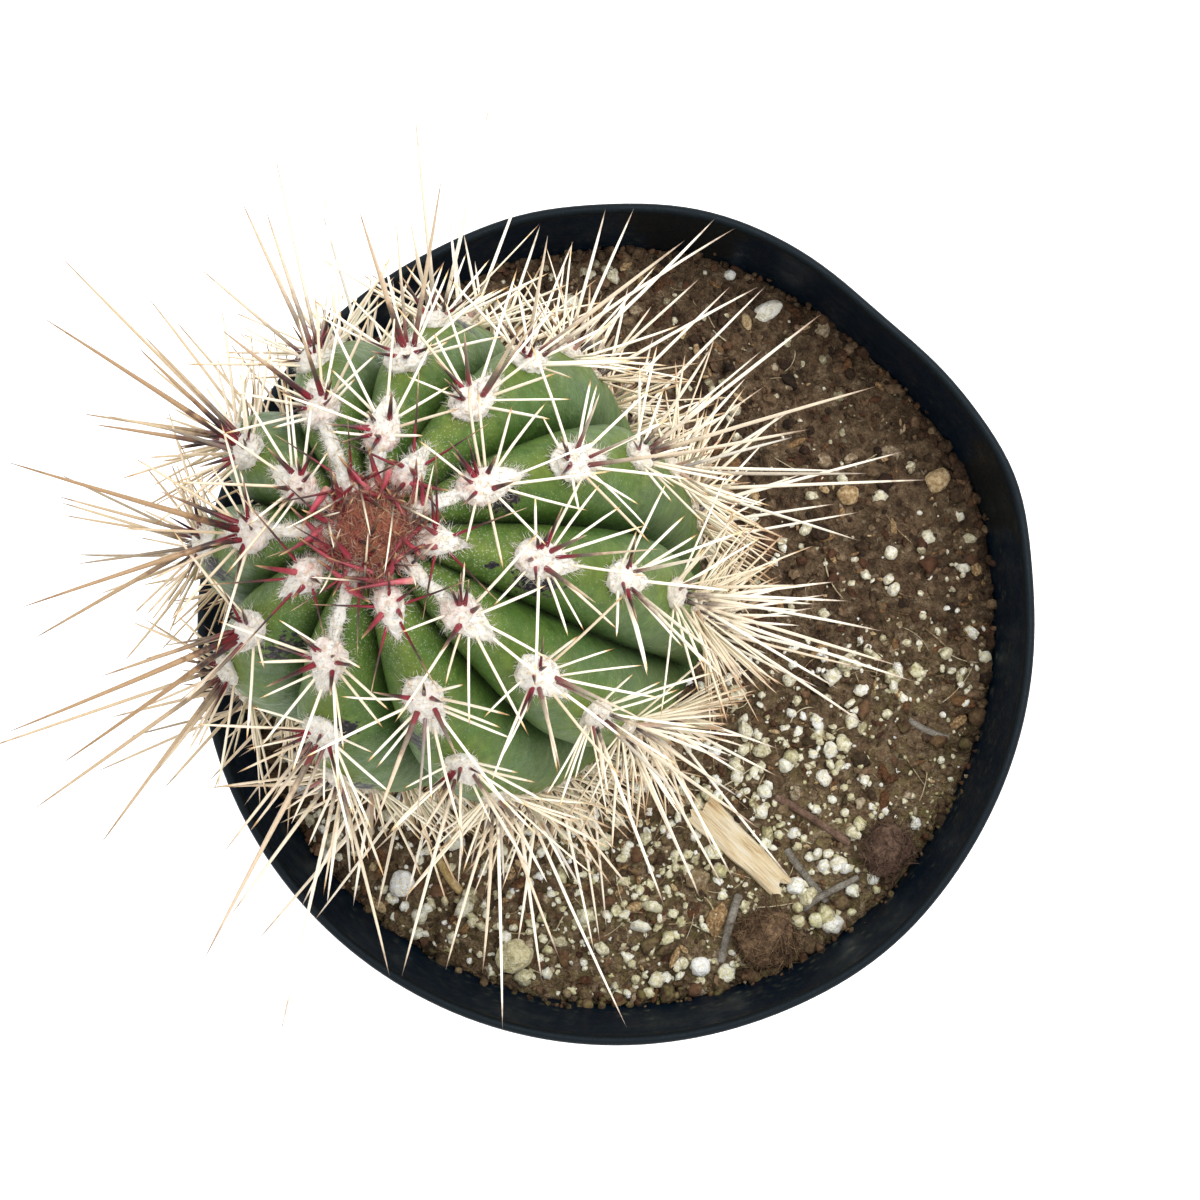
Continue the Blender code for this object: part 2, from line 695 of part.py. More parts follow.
def make_wood_chip():
    """A split chip of pale wood, thinner and narrower at its far end."""
    near, far = (Vector((*end, 0.0)) for end in WOOD_CHIP_ENDS)
    length = (far - near).length
    mesh = mesh_from(lambda shape: bmesh.ops.create_cube(shape, size=1.0))
    for vertex in mesh.vertices:
        if vertex.co.x > 0:
            vertex.co.x += math.copysign(WOOD_CHIP_SKEW, vertex.co.y)
            vertex.co.y *= WOOD_CHIP_TAPER[0]
            vertex.co.z *= WOOD_CHIP_TAPER[1]
    middle = (near + far) / 2
    bearing = math.atan2(far.y - near.y, far.x - near.x)
    height = soil_height(middle.x, middle.y) + CHIP_LIFT * WOOD_CHIP_THICKNESS
    mesh.transform(Matrix.Diagonal((length, WOOD_CHIP_WIDTH, WOOD_CHIP_THICKNESS, 1.0)))
    chip = add_part("wood_chip", mesh, 30)
    bevel = chip.modifiers.new("worn_edges", "BEVEL")
    bevel.width = WOOD_CHIP_BEVEL
    bevel.segments = 1
    apply_modifiers(chip)
    chip.data.transform(Matrix.Translation((middle.x, middle.y, height)) @ Matrix.Rotation(bearing, 4, "Z"))
    add_pocket("wood_chip", chip.data)


def cut_soil(soil):
    """The stem's hole, and a shallow pocket under each loose piece."""
    pockets = [found for found in cutters.objects if found.name.endswith("_pocket")]
    for cutter in [cutters.objects["stem_hole"], *pockets]:
        cut = soil.modifiers.new(cutter.name, "BOOLEAN")
        cut.object = cutter


clear_scene()
parts = new_collection(OBJECT_NAME)
cutters = new_collection("cutters")
repeats = new_collection("repeats")
make_pot()
soil_part = make_soil()
make_cactus()
stem_hole()
make_wood_chip()
for stone_name in STONES:
    make_stone(stone_name)
for twig_name in TWIGS:
    make_twig(twig_name)
cut_soil(soil_part)
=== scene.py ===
"""A young cardon cactus in a black nursery pot, with its woolly areoles, spines and loose potting mix.

Metres, +Z up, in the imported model's frame. The shapes repeat the solid model's named values.
"""

import math
import random

import bmesh
import bpy
import numpy as np
from mathutils import Matrix, Vector, noise


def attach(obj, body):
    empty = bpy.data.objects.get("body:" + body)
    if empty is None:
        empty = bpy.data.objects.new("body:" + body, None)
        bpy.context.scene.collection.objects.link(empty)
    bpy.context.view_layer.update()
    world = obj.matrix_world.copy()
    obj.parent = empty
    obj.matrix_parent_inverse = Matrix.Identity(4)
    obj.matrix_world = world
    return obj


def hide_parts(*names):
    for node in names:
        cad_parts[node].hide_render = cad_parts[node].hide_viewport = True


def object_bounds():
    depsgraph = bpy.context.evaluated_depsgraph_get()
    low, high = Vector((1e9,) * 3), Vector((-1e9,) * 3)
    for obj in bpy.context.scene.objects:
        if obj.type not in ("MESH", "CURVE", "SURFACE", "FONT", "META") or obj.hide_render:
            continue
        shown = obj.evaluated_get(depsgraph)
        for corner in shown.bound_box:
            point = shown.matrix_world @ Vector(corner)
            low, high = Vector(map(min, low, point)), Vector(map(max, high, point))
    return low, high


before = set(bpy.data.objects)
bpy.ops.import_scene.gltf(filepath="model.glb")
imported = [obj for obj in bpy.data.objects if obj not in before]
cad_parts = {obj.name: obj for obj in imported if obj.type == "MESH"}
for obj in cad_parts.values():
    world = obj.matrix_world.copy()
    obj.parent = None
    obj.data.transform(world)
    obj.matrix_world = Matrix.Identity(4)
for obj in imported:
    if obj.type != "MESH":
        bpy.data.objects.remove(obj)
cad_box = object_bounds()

MM = 0.001

# Pot and soil, as in the solid model
POT_HEIGHT = 165 * MM
RIM_RADIUS = 82.2 * MM
RIM_INNER_RADIUS = 80.2 * MM
BEAD_HEIGHT = 5.0 * MM
WALL = 1.8 * MM
FLOOR = 2.4 * MM
BASE_RADIUS = 62.5 * MM
BASE_CORNER = 3.0 * MM
FLOOR_CORNER = 3.6 * MM
RIM_BENDS = ((102, 0.8 * MM, 10), (79, 1.4 * MM, 14), (49, -1.7 * MM, 11), (20, 1.6 * MM, 10), (-50, 0.7 * MM, 14))
DRAIN_HOLES = 6
DRAIN_RADIUS = 5.0 * MM
DRAIN_HEIGHT = 11.0 * MM
DRAIN_BEARING = 30
SOIL_DROP = 22 * MM
SOIL_TOP = POT_HEIGHT - SOIL_DROP
SOIL_RADIUS = 77.2 * MM
MID_WALL = 0.6 * SOIL_TOP
LUMP_SIZE, LUMP_HEIGHT = 22 * MM, 1.4 * MM
CRUMB_SIZE, CRUMB_HEIGHT = 7 * MM, 0.9 * MM
CRUMB_LAYER = 0.1
EDGE_FALL = 1.2 * MM
EDGE_POWER = 12
GAP = 0.3 * MM

# Stem, as in the solid model
STEM_FOOT = np.array((-8.6 * MM, 2.6 * MM, SOIL_TOP))
STEM_LEAN = np.array((-0.158, 0.052, 1.0))
STEM_HEIGHT = 154.8 * MM
WIDEST_HEIGHT = 106 * MM
WIDEST_RADIUS = 38.6 * MM
FOOT_RADIUS = 27 * MM
SHOULDER = 1.6
CROWN_POWER = 2.09
CROWN_DIMPLE = 1.5 * MM
DIMPLE_SHARE = 0.3
STUB_DEPTH = 16 * MM
STUB_RADIUS = 21 * MM
RIB_DEPTH = 10.5 * MM
RIBS_START = 2 * MM
RIBS_FULL = 45 * MM
FULL_DEPTH_SHARE = 0.75
RIB_BEARINGS = np.array((-9, -43, -76.5, -113, -148, -182, -211.5, -243, -273.4, -302.8, -337))
RIBS = len(RIB_BEARINGS)
AREOLE_STEP = 19 * MM
AREOLE_STEP_AT_CROWN = 15.8 * MM
FIRST_AREOLES = (9.6, 18.2, 11.3, 5, 12, 5.2, 14, 7.5, 15.5, 10, 17.7)
LOWEST_AREOLE = 13 * MM
CREST_STRIDE = 0.002
PAD_SIZE = np.array((2.9 * MM, 4.6 * MM, 1.9 * MM))

# Spines, as in the solid model
SPINE_SEED = 11
SPREADING_GROWS = (0 * MM, 20 * MM)
CENTRAL_GROWS = (16 * MM, 44 * MM)
YOUNGEST_SPREADING = 0.5
YOUNGEST_CENTRAL = 0.24
SPREADING_SPINES = (28, 100, -28, -100)
SPREADING_RING = 1.7 * MM
SPREADING_TURN = (-14, 14)
SPREADING_LIFT = (20, 42)
SPREADING_LENGTH = (13 * MM, 20 * MM)
CENTRAL_LONGEST = {-1: 46 * MM, 1: 28 * MM}
CENTRAL_SHARE = (0.62, 1.0)
CENTRAL_ACROSS = (0.1, 0.45)
CENTRAL_ALONG = (-0.5, 0.35)
CENTRAL_RING = 0.8 * MM

# Camera: the photographer held it almost straight above the pot
CAMERA_PLACE = Vector((6.085, -9.539, 625.213)) * MM
CAMERA_AIM = Vector((-3.27, 5.49, 143.0)) * MM
CAMERA_LENS = 70.5
CAMERA_SENSOR = 36.0

# Light: how bright a white surface that faces the sky gets, from the sky and from the lamp
SKY = 1.3
LAMP_WATTS = 17.0
# Surface colours as a share of what the picture shows: most things, and wool and spines, which it shows too bright
SHOWN = 0.6
SHOWN_BRIGHT = 0.92
SHOWN_WOOL = 0.8


# ---------------------------------------------------------------- shapes

def noise_at(points, size, layer=0.0):
    """Smooth noise, about -1 to 1, at each point. Each layer is another pattern."""
    return np.array([noise.noise(place) for place in (np.asarray(points) / size + 17.3 * layer).tolist()])


def unit(vectors):
    return vectors / np.linalg.norm(vectors, axis=-1, keepdims=True)


class Shapes:
    """Closed shapes gathered into the one mesh of a piece, with marks at their points for the material."""

    def __init__(self):
        self.points, self.faces, self.marks, self.total = [], [], {}, 0

    def add(self, points, faces, **marks):
        points = np.asarray(points, float).reshape(-1, 3)
        self.faces += [np.asarray(face) + self.total for face in faces]
        for name, values in marks.items():
            self.marks.setdefault(name, []).append(np.broadcast_to(values, len(points)))
        self.points.append(points)
        self.total += len(points)

    def mesh(self, name):
        made = bpy.data.meshes.new(name)
        made.vertices.add(self.total)
        made.vertices.foreach_set("co", np.concatenate(self.points).astype(np.float32).ravel())
        corners = np.concatenate([face.ravel() for face in self.faces]).astype(np.int32)
        counts = np.concatenate([np.full(len(face), face.shape[1]) for face in self.faces])
        made.loops.add(len(corners))
        made.loops.foreach_set("vertex_index", corners)
        made.polygons.add(len(counts))
        starts = np.concatenate([[0], np.cumsum(counts)[:-1]]).astype(np.int32)
        made.polygons.foreach_set("loop_start", starts)
        made.update(calc_edges=True)
        for mark, values in self.marks.items():
            held = made.attributes.new(mark, "FLOAT", "POINT")
            held.data.foreach_set("value", np.concatenate(values).astype(np.float32))
        return made

    def piece(self, name, look, slot, *nodes, smooth_within=None):
        return add_piece(name, self.mesh(name), look, slot, *nodes, smooth_within=smooth_within)


def add_piece(name, mesh, look, slot, *nodes, smooth_within=None):
    """A finished piece that stands for the given nodes. The slot argument is not used."""
    mesh.materials.clear()
    mesh.materials.append(look)
    mesh.shade_smooth()
    if smooth_within is not None:
        mesh.set_sharp_from_angle(angle=math.radians(smooth_within))
    made = bpy.data.objects.new(name, mesh)
    bpy.context.scene.collection.objects.link(made)
    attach(made, "root")
    if nodes:
        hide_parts(*nodes)
    return made


def tubes(paths, radii, sides):
    """Round bars along paths, each ending in a point at its path's last place."""
    paths = np.asarray(paths, float)
    bars, places = paths.shape[:2]
    along = unit(np.gradient(paths, axis=1))
    upright = np.abs(along[:, :1, 2:]) > 0.8
    across = unit(np.cross(along, np.where(upright, (1.0, 0.0, 0.0), (0.0, 0.0, 1.0))))
    other = np.cross(along, across)
    angles = math.tau * np.arange(sides)[:, None] / sides
    ring = across[:, :-1, None] * np.cos(angles) + other[:, :-1, None] * np.sin(angles)
    body = paths[:, :-1, None] + ring * np.asarray(radii)[:, :-1, None, None]
    points = np.concatenate([body.reshape(bars, -1, 3), paths[:, -1:]], axis=1)
    rows = places - 1
    near = np.arange(sides)
    far = (near + 1) % sides
    level = sides * np.arange(rows - 1)[:, None]
    quads = np.stack([level + near, level + far, level + far + sides, level + near + sides], axis=-1)
    last = sides * (rows - 1)
    tips = np.stack([last + near, last + far, np.full(sides, last + sides)], axis=-1)
    starts = points.shape[1] * np.arange(bars)[:, None, None]
    faces = [
        (quads.reshape(1, -1, 4) + starts).reshape(-1, 4),
        (tips[None] + starts).reshape(-1, 3),
        (near[::-1][None, None] + starts).reshape(-1, sides),
    ]
    return points.reshape(-1, 3), faces, points.shape[1]


def add_tubes(shapes, paths, radii, sides, shares, **marks):
    """Adds bars whose points are marked with their share of the way along, and each bar's own marks."""
    points, faces, size = tubes(paths, radii, sides)
    along = np.append(np.repeat(shares[:-1], sides), shares[-1])
    own = {name: np.repeat(values, size) for name, values in marks.items()}
    shapes.add(points, faces, along=np.tile(along, len(paths)), **own)


def ball(subdivisions):
    """The points and triangles of a round ball of radius 1."""
    shape = bmesh.new()
    bmesh.ops.create_icosphere(shape, subdivisions=subdivisions, radius=1.0)
    points = np.array([vertex.co for vertex in shape.verts])
    faces = np.array([[vertex.index for vertex in face.verts] for face in shape.faces])
    shape.free()
    return points, faces


def random_turns(draw, count):
    """Rotation matrices in even random directions."""
    w, x, y, z = unit(draw.normal(size=(count, 4))).T
    return np.stack([
        np.stack([1 - 2 * (y * y + z * z), 2 * (x * y - z * w), 2 * (x * z + y * w)], axis=-1),
        np.stack([2 * (x * y + z * w), 1 - 2 * (x * x + z * z), 2 * (y * z - x * w)], axis=-1),
        np.stack([2 * (x * z - y * w), 2 * (y * z + x * w), 1 - 2 * (x * x + y * y)], axis=-1),
    ], axis=1)


def spins(bearings):
    """Rotation matrices about Z."""
    c, s, o, i = np.cos(bearings), np.sin(bearings), np.zeros_like(bearings), np.ones_like(bearings)
    return np.stack([c, -s, o, s, c, o, o, o, i], axis=-1).reshape(-1, 3, 3)


def add_grains(shapes, draw, places, sizes, turns, subdivisions, lumpiness, lump_size=0.9, **marks):
    """Adds many small rough stones or crumbs, each a ball pushed in and out by noise."""
    round_points, faces = ball(subdivisions)
    kinds = []
    for kind in range(8):
        lumps = noise_at(round_points, lump_size, kind + 1) + 0.5 * noise_at(round_points, lump_size / 2, kind + 20)
        kinds.append(round_points * (1 + lumpiness * lumps)[:, None])
    shaped = np.array(kinds)[draw.integers(0, len(kinds), len(places))]
    points = np.einsum("nij,nvj->nvi", turns, shaped * sizes[:, None]) + places[:, None]
    size = len(round_points)
    triangles = (faces[None] + size * np.arange(len(places))[:, None, None]).reshape(-1, 3)
    shapes.add(points, [triangles], **{name: np.repeat(values, size) for name, values in marks.items()})


# ---------------------------------------------------------------- materials

def tone(code, shown):
    """A colour as it looks in the photograph, from its web code, as the surface colour that gives it."""
    parts = [int(code[i : i + 2], 16) / 255 for i in (1, 3, 5)]
    linear = [c / 12.92 if c <= 0.04045 else ((c + 0.055) / 1.055) ** 2.4 for c in parts]
    return (*[c * shown for c in linear], 1.0)


class Look:
    """A material whose nodes are added by short calls."""

    def __init__(self, name, shown=SHOWN, **constants):
        self.shown = shown
        self.material = bpy.data.materials.new(name)
        self.material.use_nodes = True
        self.nodes = self.material.node_tree.nodes
        self.shader = self.nodes["Principled BSDF"]
        self.where = self.nodes.new("ShaderNodeTexCoord").outputs["Object"]
        for socket, value in constants.items():
            self.shader.inputs[socket.replace("_", " ")].default_value = value

    def wire(self, socket, value):
        if isinstance(value, bpy.types.NodeSocket):
            self.material.node_tree.links.new(value, socket)
        else:
            socket.default_value = value

    def mark(self, name):
        node = self.nodes.new("ShaderNodeAttribute")
        node.attribute_name = name
        return node.outputs["Fac"]

    def span(self, value, low, high, to_low=0.0, to_high=1.0):
        """The value moved from one range to another, and held inside it."""
        node = self.nodes.new("ShaderNodeMapRange")
        for socket, given in zip(node.inputs, (value, low, high, to_low, to_high)):
            self.wire(socket, given)
        return node.outputs[0]

    def noise(self, size, detail=3.0, low=0.35, high=0.65, stretch=(1, 1, 1), rough=0.55):
        """Cloudy noise with blobs of the given size, from 0 to 1."""
        place = self.nodes.new("ShaderNodeMapping")
        self.wire(place.inputs["Vector"], self.where)
        place.inputs["Scale"].default_value = [1 / (size * s) for s in stretch]
        node = self.nodes.new("ShaderNodeTexNoise")
        self.wire(node.inputs["Vector"], place.outputs[0])
        node.inputs["Scale"].default_value = 1.0
        node.inputs["Detail"].default_value = detail
        node.inputs["Roughness"].default_value = rough
        return self.span(node.outputs["Fac"], low, high)

    def cells(self, size, output="Distance", randomness=1.0):
        """Distance from the middles of scattered cells, or a random value for each cell."""
        node = self.nodes.new("ShaderNodeTexVoronoi")
        self.wire(node.inputs["Vector"], self.where)
        node.inputs["Scale"].default_value = 1 / size
        node.inputs["Randomness"].default_value = randomness
        return node.outputs[output]

    def math(self, operation, first, second=0.0, clamp=False):
        node = self.nodes.new("ShaderNodeMath")
        node.operation = operation
        node.use_clamp = clamp
        self.wire(node.inputs[0], first)
        self.wire(node.inputs[1], second)
        return node.outputs[0]

    def ramp(self, factor, *stops):
        """A colour that runs through the given stops of place and colour."""
        node = self.nodes.new("ShaderNodeValToRGB")
        self.wire(node.inputs["Fac"], factor)
        held = node.color_ramp.elements
        while len(held) < len(stops):
            held.new(1.0)
        for element, (place, colour) in zip(held, stops):
            element.position = place
            element.color = tone(colour, self.shown) if isinstance(colour, str) else (colour, colour, colour, 1.0)
        return node.outputs["Color"]

    def mix(self, factor, first, second, blend="MIX"):
        node = self.nodes.new("ShaderNodeMix")
        node.data_type = "RGBA"
        node.blend_type = blend
        self.wire(node.inputs["Factor"], factor)
        for socket, value in zip((node.inputs[6], node.inputs[7]), (first, second)):
            self.wire(socket, tone(value, self.shown) if isinstance(value, str) else value)
        return node.outputs[2]

    def finish(self, colour, roughness, bump=None, depth=0.1 * MM, strength=1.0):
        """Sets the colour, the roughness and the height of small relief, and gives the material."""
        self.wire(self.shader.inputs["Base Color"], colour)
        self.wire(self.shader.inputs["Roughness"], roughness)
        if bump is not None:
            node = self.nodes.new("ShaderNodeBump")
            node.inputs["Distance"].default_value = depth
            node.inputs["Strength"].default_value = strength
            self.wire(node.inputs["Height"], bump)
            self.wire(self.shader.inputs["Normal"], node.outputs[0])
        return self.material


def pot_look():
    look = Look("black_plastic", Specular_IOR_Level=0.12, Specular_Tint=(0.65, 0.85, 1.0, 1.0))
    inside = look.mark("inside")
    dust = look.noise(9 * MM, 6.0, 0.5, 0.75)
    dust = look.math("MULTIPLY", dust, look.noise(0.9 * MM, 2.0, 0.45, 0.7))
    colour = look.mix(inside, "#171c20", "#041a2c")
    colour = look.mix(look.math("MULTIPLY", dust, look.span(look.mark("low"), 0, 1, 0.01, 0.75)), colour, "#5f6556")
    specks = look.math("MULTIPLY", look.span(look.cells(2.3 * MM), 0.42, 0.12), look.noise(3 * MM, 2.0, 0.45, 0.6))
    specks = look.math("MULTIPLY", specks, look.mark("low"))
    colour = look.mix(look.math("MULTIPLY", specks, 0.55), colour, "#7f8468")
    rough = look.span(look.noise(4 * MM, 4.0), 0, 1, 0.38, 0.56)
    relief = look.math("ADD", look.noise(0.7 * MM, 3.0), look.math("MULTIPLY", look.noise(14 * MM, 2.0), 2.0))
    return look.finish(colour, rough, relief, 0.05 * MM, 0.6)


def stem_look():
    look = Look("cactus_skin", Specular_IOR_Level=0.17)
    groove = look.mark("groove")
    walked = look.mark("walked")
    patches = look.noise(11 * MM, 3.0)
    flank = look.mix(look.span(walked, 30, 66), "#4a6e28", "#53703c")
    flank = look.mix(look.math("MULTIPLY", patches, 0.45), flank, "#637f3a")
    blotch = look.math("MULTIPLY", look.noise(4.5 * MM, 5.0, 0.45, 0.62, rough=0.7), 0.42)
    flank = look.mix(blotch, flank, "#36571f")
    crest = look.span(groove, 0.5, 0.02)
    warm = look.math("MULTIPLY", crest, look.span(look.noise(7 * MM, 3.0, 0.3, 0.7), 0, 1, 0.25, 0.75))
    colour = look.mix(warm, flank, "#7d8d3c")
    near = look.math("MULTIPLY", look.mark("near"), look.noise(2.5 * MM, 3.0, 0.3, 0.6))
    colour = look.mix(look.math("MULTIPLY", near, 0.5), colour, "#909a4c")
    # Painted shade: the skin is darkened towards the bottom of each groove, where shade falls.
    deep = look.span(groove, 0.72, 1.0)
    colour = look.mix(look.math("MULTIPLY", deep, 0.5), colour, "#24400f")
    fine = look.noise(1.4 * MM, 5.0, 0.3, 0.7, rough=0.75)
    colour = look.mix(0.55, colour, look.ramp(fine, (0.0, 0.3), (1.0, 0.72)), "OVERLAY")
    stripes = look.noise(2.6 * MM, 4.0, 0.35, 0.65, stretch=(1, 1, 2.6))
    colour = look.mix(0.22, colour, look.ramp(stripes, (0.0, 0.34), (1.0, 0.68)), "OVERLAY")
    fleck = look.span(look.cells(0.55 * MM), 0.24, 0.1)
    fleck = look.math("MULTIPLY", fleck, look.noise(3 * MM, 2.0, 0.4, 0.6))
    colour = look.mix(look.math("MULTIPLY", fleck, 0.5), colour, "#c3cfa2")
    down = look.math("MULTIPLY", look.span(walked, 27, 9), look.span(look.cells(0.45 * MM), 0.34, 0.14))
    colour = look.mix(look.math("MULTIPLY", down, 0.65), colour, "#dfe2cc")
    crease = look.math("MULTIPLY", look.span(groove, 0.955, 0.995), look.noise(0.7 * MM, 3.0, 0.45, 0.6))
    colour = look.mix(look.math("MULTIPLY", crease, 0.4), colour, "#b9c69a")
    scar = look.math("ADD", look.mark("scar"), look.span(look.noise(1.1 * MM, 4.0), 0, 1, -0.3, 0.25))
    scar = look.span(scar, 0.40, 0.56)
    cork = look.ramp(look.noise(0.7 * MM, 3.0), (0.0, "#14141a"), (0.6, "#2c2a30"), (1.0, "#6b5f52"))
    colour = look.mix(scar, colour, cork)
    rough = look.span(look.noise(2.2 * MM, 4.0), 0, 1, 0.42, 0.62)
    relief = look.math("ADD", look.noise(0.55 * MM, 3.0), look.math("MULTIPLY", look.noise(3 * MM, 3.0), 2.0))
    return look.finish(colour, rough, relief, 0.08 * MM, 0.55)


def wool_look():
    look = Look("areole_wool", SHOWN_WOOL, Sheen_Weight=0.3, Sheen_Roughness=0.6, Specular_IOR_Level=0.1)
    white = look.ramp(look.noise(0.7 * MM, 4.0), (0.0, "#e9dabd"), (0.35, "#fdf6e8"), (1.0, "#fffef9"))
    old = look.ramp(look.noise(0.6 * MM, 4.0), (0.0, "#8f7d63"), (0.45, "#cfbd9f"), (1.0, "#f3e9d5"))
    colour = look.mix(look.mark("old"), white, old)
    blush = look.math("MULTIPLY", look.mark("pink"), look.noise(1.0 * MM, 3.0, 0.35, 0.6))
    colour = look.mix(look.math("MULTIPLY", blush, 0.65), colour, "#d98f7e")
    relief = look.noise(0.2 * MM, 4.0, 0.2, 0.8, rough=0.7)
    return look.finish(colour, look.span(look.noise(0.5 * MM), 0, 1, 0.85, 1.0), relief, 0.18 * MM)


def spine_look():
    """Ivory spreading spines, and central ones that are crimson, then dark, then straw-coloured from the skin out."""
    look = Look("spines", SHOWN_BRIGHT, Specular_IOR_Level=0.4)
    along = look.mark("along")
    wander = look.span(look.noise(1.6 * MM, 3.0), 0, 1, -0.05, 0.05)
    place = look.math("ADD", along, wander)
    away = look.math("MULTIPLY", place, look.mark("stretch"))
    pale = look.ramp(
        place, (0.0, "#dcc69c"), (0.1, "#fdf1da"), (0.84, "#fff6e6"), (0.93, "#e3c48f"), (1.0, "#96653a")
    )
    straw = look.ramp(
        place, (0.0, "#98856a"), (0.14, "#e2d2b2"), (0.7, "#e3d3b4"), (0.87, "#bf9c78"), (1.0, "#6b4632")
    )
    young = look.ramp(
        away, (0.0, "#b8505c"), (0.15, "#922336"), (0.42, "#731526"), (0.55, "#35171b"), (0.7, "#43302a"),
        (0.84, "#866850"), (0.97, "#b3997a"), (1.0, "#bfa78a"),
    )
    mature = look.ramp(
        away, (0.0, "#7a3a36"), (0.1, "#4a2a28"), (0.24, "#3a3232"), (0.42, "#8a7b6c"), (0.6, "#d9cbb2"),
        (1.0, "#f4ebd9"),
    )
    fresh = look.ramp(
        place, (0.0, "#e6b0a2"), (0.2, "#c4606a"), (0.52, "#9c3041"), (0.76, "#66252b"), (0.9, "#9c774f"),
        (1.0, "#c49f68"),
    )
    colour = look.mix(look.mark("straw"), pale, straw)
    central = look.mix(look.mark("age"), young, mature)
    tip = look.math("MULTIPLY", look.span(place, 0.82, 0.98), look.span(look.mark("stretch"), 1.2, 1.8))
    central = look.mix(look.math("MULTIPLY", tip, 0.8), central, "#7a5136")
    central = look.mix(look.mark("fresh"), central, fresh)
    colour = look.mix(look.mark("central"), colour, central)
    colour = look.mix(look.math("MULTIPLY", look.mark("grey"), 0.7), colour, "#8f8c86")
    colour = look.mix(look.mark("dim"), colour, look.mix(1.0, colour, "#d3c3ad", "MULTIPLY"))
    shade = look.ramp(look.noise(0.6 * MM, 3.0), (0.0, 0.38), (1.0, 0.6))
    colour = look.mix(0.35, colour, shade, "OVERLAY")
    rough = look.span(look.noise(0.8 * MM, 2.0), 0, 1, 0.35, 0.55)
    return look.finish(colour, rough, look.noise(0.3 * MM, 3.0), 0.03 * MM, 0.5)


def tuft_look():
    look = Look("crown_down", Sheen_Weight=0.2, Specular_IOR_Level=0.2)
    colour = look.ramp(
        look.mark("shade"), (0.0, "#8a3c28"), (0.3, "#bb6c4a"), (0.55, "#da9a72"), (0.8, "#eec09c"), (1.0, "#fbe2ca")
    )
    colour = look.mix(look.math("MULTIPLY", look.noise(1.5 * MM, 3.0, 0.4, 0.7), 0.7), colour, "#b0524a")
    return look.finish(colour, look.span(look.noise(0.5 * MM), 0, 1, 0.7, 0.95), look.noise(0.3 * MM, 3.0), 0.1 * MM)


def earth_colour(look, value):
    """Potting mix: dark brown crumbs with rusty and grey ones among them."""
    return look.ramp(
        value, (0.0, "#2b2019"), (0.25, "#4a3829"), (0.5, "#69553f"), (0.7, "#866e54"), (0.86, "#a28d70"),
        (1.0, "#cdbda2"),
    )


def soil_look():
    look = Look("potting_mix", Specular_IOR_Level=0.2)
    mixed = look.math("ADD", look.math("MULTIPLY", look.noise(2.4 * MM, 6.0, 0.25, 0.8, rough=0.7), 0.75),
                      look.math("MULTIPLY", look.noise(0.6 * MM, 3.0, 0.2, 0.8), 0.3))
    # Painted shade and light: the mix is darker in the hollows of its relief and lighter on its tops; it is also
    # lighter where the algae mark is high.
    lit = look.math("ADD", look.span(look.mark("rise"), -1.9, 0.6, -0.38, 0.2),
                    look.math("MULTIPLY", look.mark("algae"), 0.18))
    colour = earth_colour(look, look.math("ADD", look.math("MULTIPLY", mixed, 0.85), lit))
    rust = look.math("MULTIPLY", look.noise(6 * MM, 3.0, 0.5, 0.65), look.noise(1.1 * MM, 2.0))
    colour = look.mix(look.math("MULTIPLY", rust, 0.3), colour, "#7a4f38")
    algae = look.math("MULTIPLY", look.mark("algae"), look.noise(2.2 * MM, 5.0, 0.45, 0.62))
    colour = look.mix(look.math("MULTIPLY", algae, 0.4), colour, "#a8a05e")
    dust = look.math("GREATER_THAN", look.cells(0.75 * MM, "Color"), 0.86)
    colour = look.mix(look.math("MULTIPLY", dust, 0.35), colour, "#b7aa90")
    relief = look.math("ADD", look.noise(0.5 * MM, 4.0), look.math("MULTIPLY", look.noise(1.6 * MM, 3.0), 2.0))
    return look.finish(colour, look.span(look.noise(1.0 * MM), 0, 1, 0.8, 1.0), relief, 0.35 * MM)


def crumb_look():
    look = Look("crumbs", Specular_IOR_Level=0.2)
    value = look.math("ADD", look.mark("shade"), look.span(look.noise(0.8 * MM, 4.0), 0, 1, -0.16, 0.16))
    colour = earth_colour(look, value)
    colour = look.mix(look.math("MULTIPLY", look.mark("rust"), 0.5), colour, "#7d5038")
    algae = look.math("MULTIPLY", look.mark("algae"), look.noise(1.5 * MM, 4.0, 0.45, 0.6))
    colour = look.mix(look.math("MULTIPLY", algae, 0.4), colour, "#b3aa68")
    relief = look.noise(0.35 * MM, 4.0, 0.2, 0.8)
    return look.finish(colour, look.span(look.noise(0.6 * MM), 0, 1, 0.8, 1.0), relief, 0.2 * MM)


def stone_look(name, dark, middle, light, stain="#d0cc80"):
    """Porous pale stone, with its green stain where it is marked."""
    look = Look(name, SHOWN_WOOL, Specular_IOR_Level=0.25)
    value = look.math("ADD", look.mark("shade"), look.span(look.noise(0.9 * MM, 4.0), 0, 1, -0.3, 0.3))
    colour = look.ramp(value, (0.0, dark), (0.5, middle), (1.0, light))
    algae = look.math("MULTIPLY", look.mark("algae"), look.noise(1.2 * MM, 3.0, 0.3, 0.6))
    colour = look.mix(look.math("MULTIPLY", algae, 0.75), colour, stain)
    # Painted shade: the pits of the pores are darkened towards the dark colour.
    pores = look.span(look.cells(0.45 * MM), 0.08, 0.3)
    colour = look.mix(look.span(pores, 0, 1, 0.3, 0.0), colour, dark)
    relief = look.math("ADD", look.noise(0.4 * MM, 3.0), look.math("MULTIPLY", pores, 0.8))
    return look.finish(colour, look.span(look.noise(0.6 * MM), 0, 1, 0.8, 1.0), relief, 0.15 * MM)


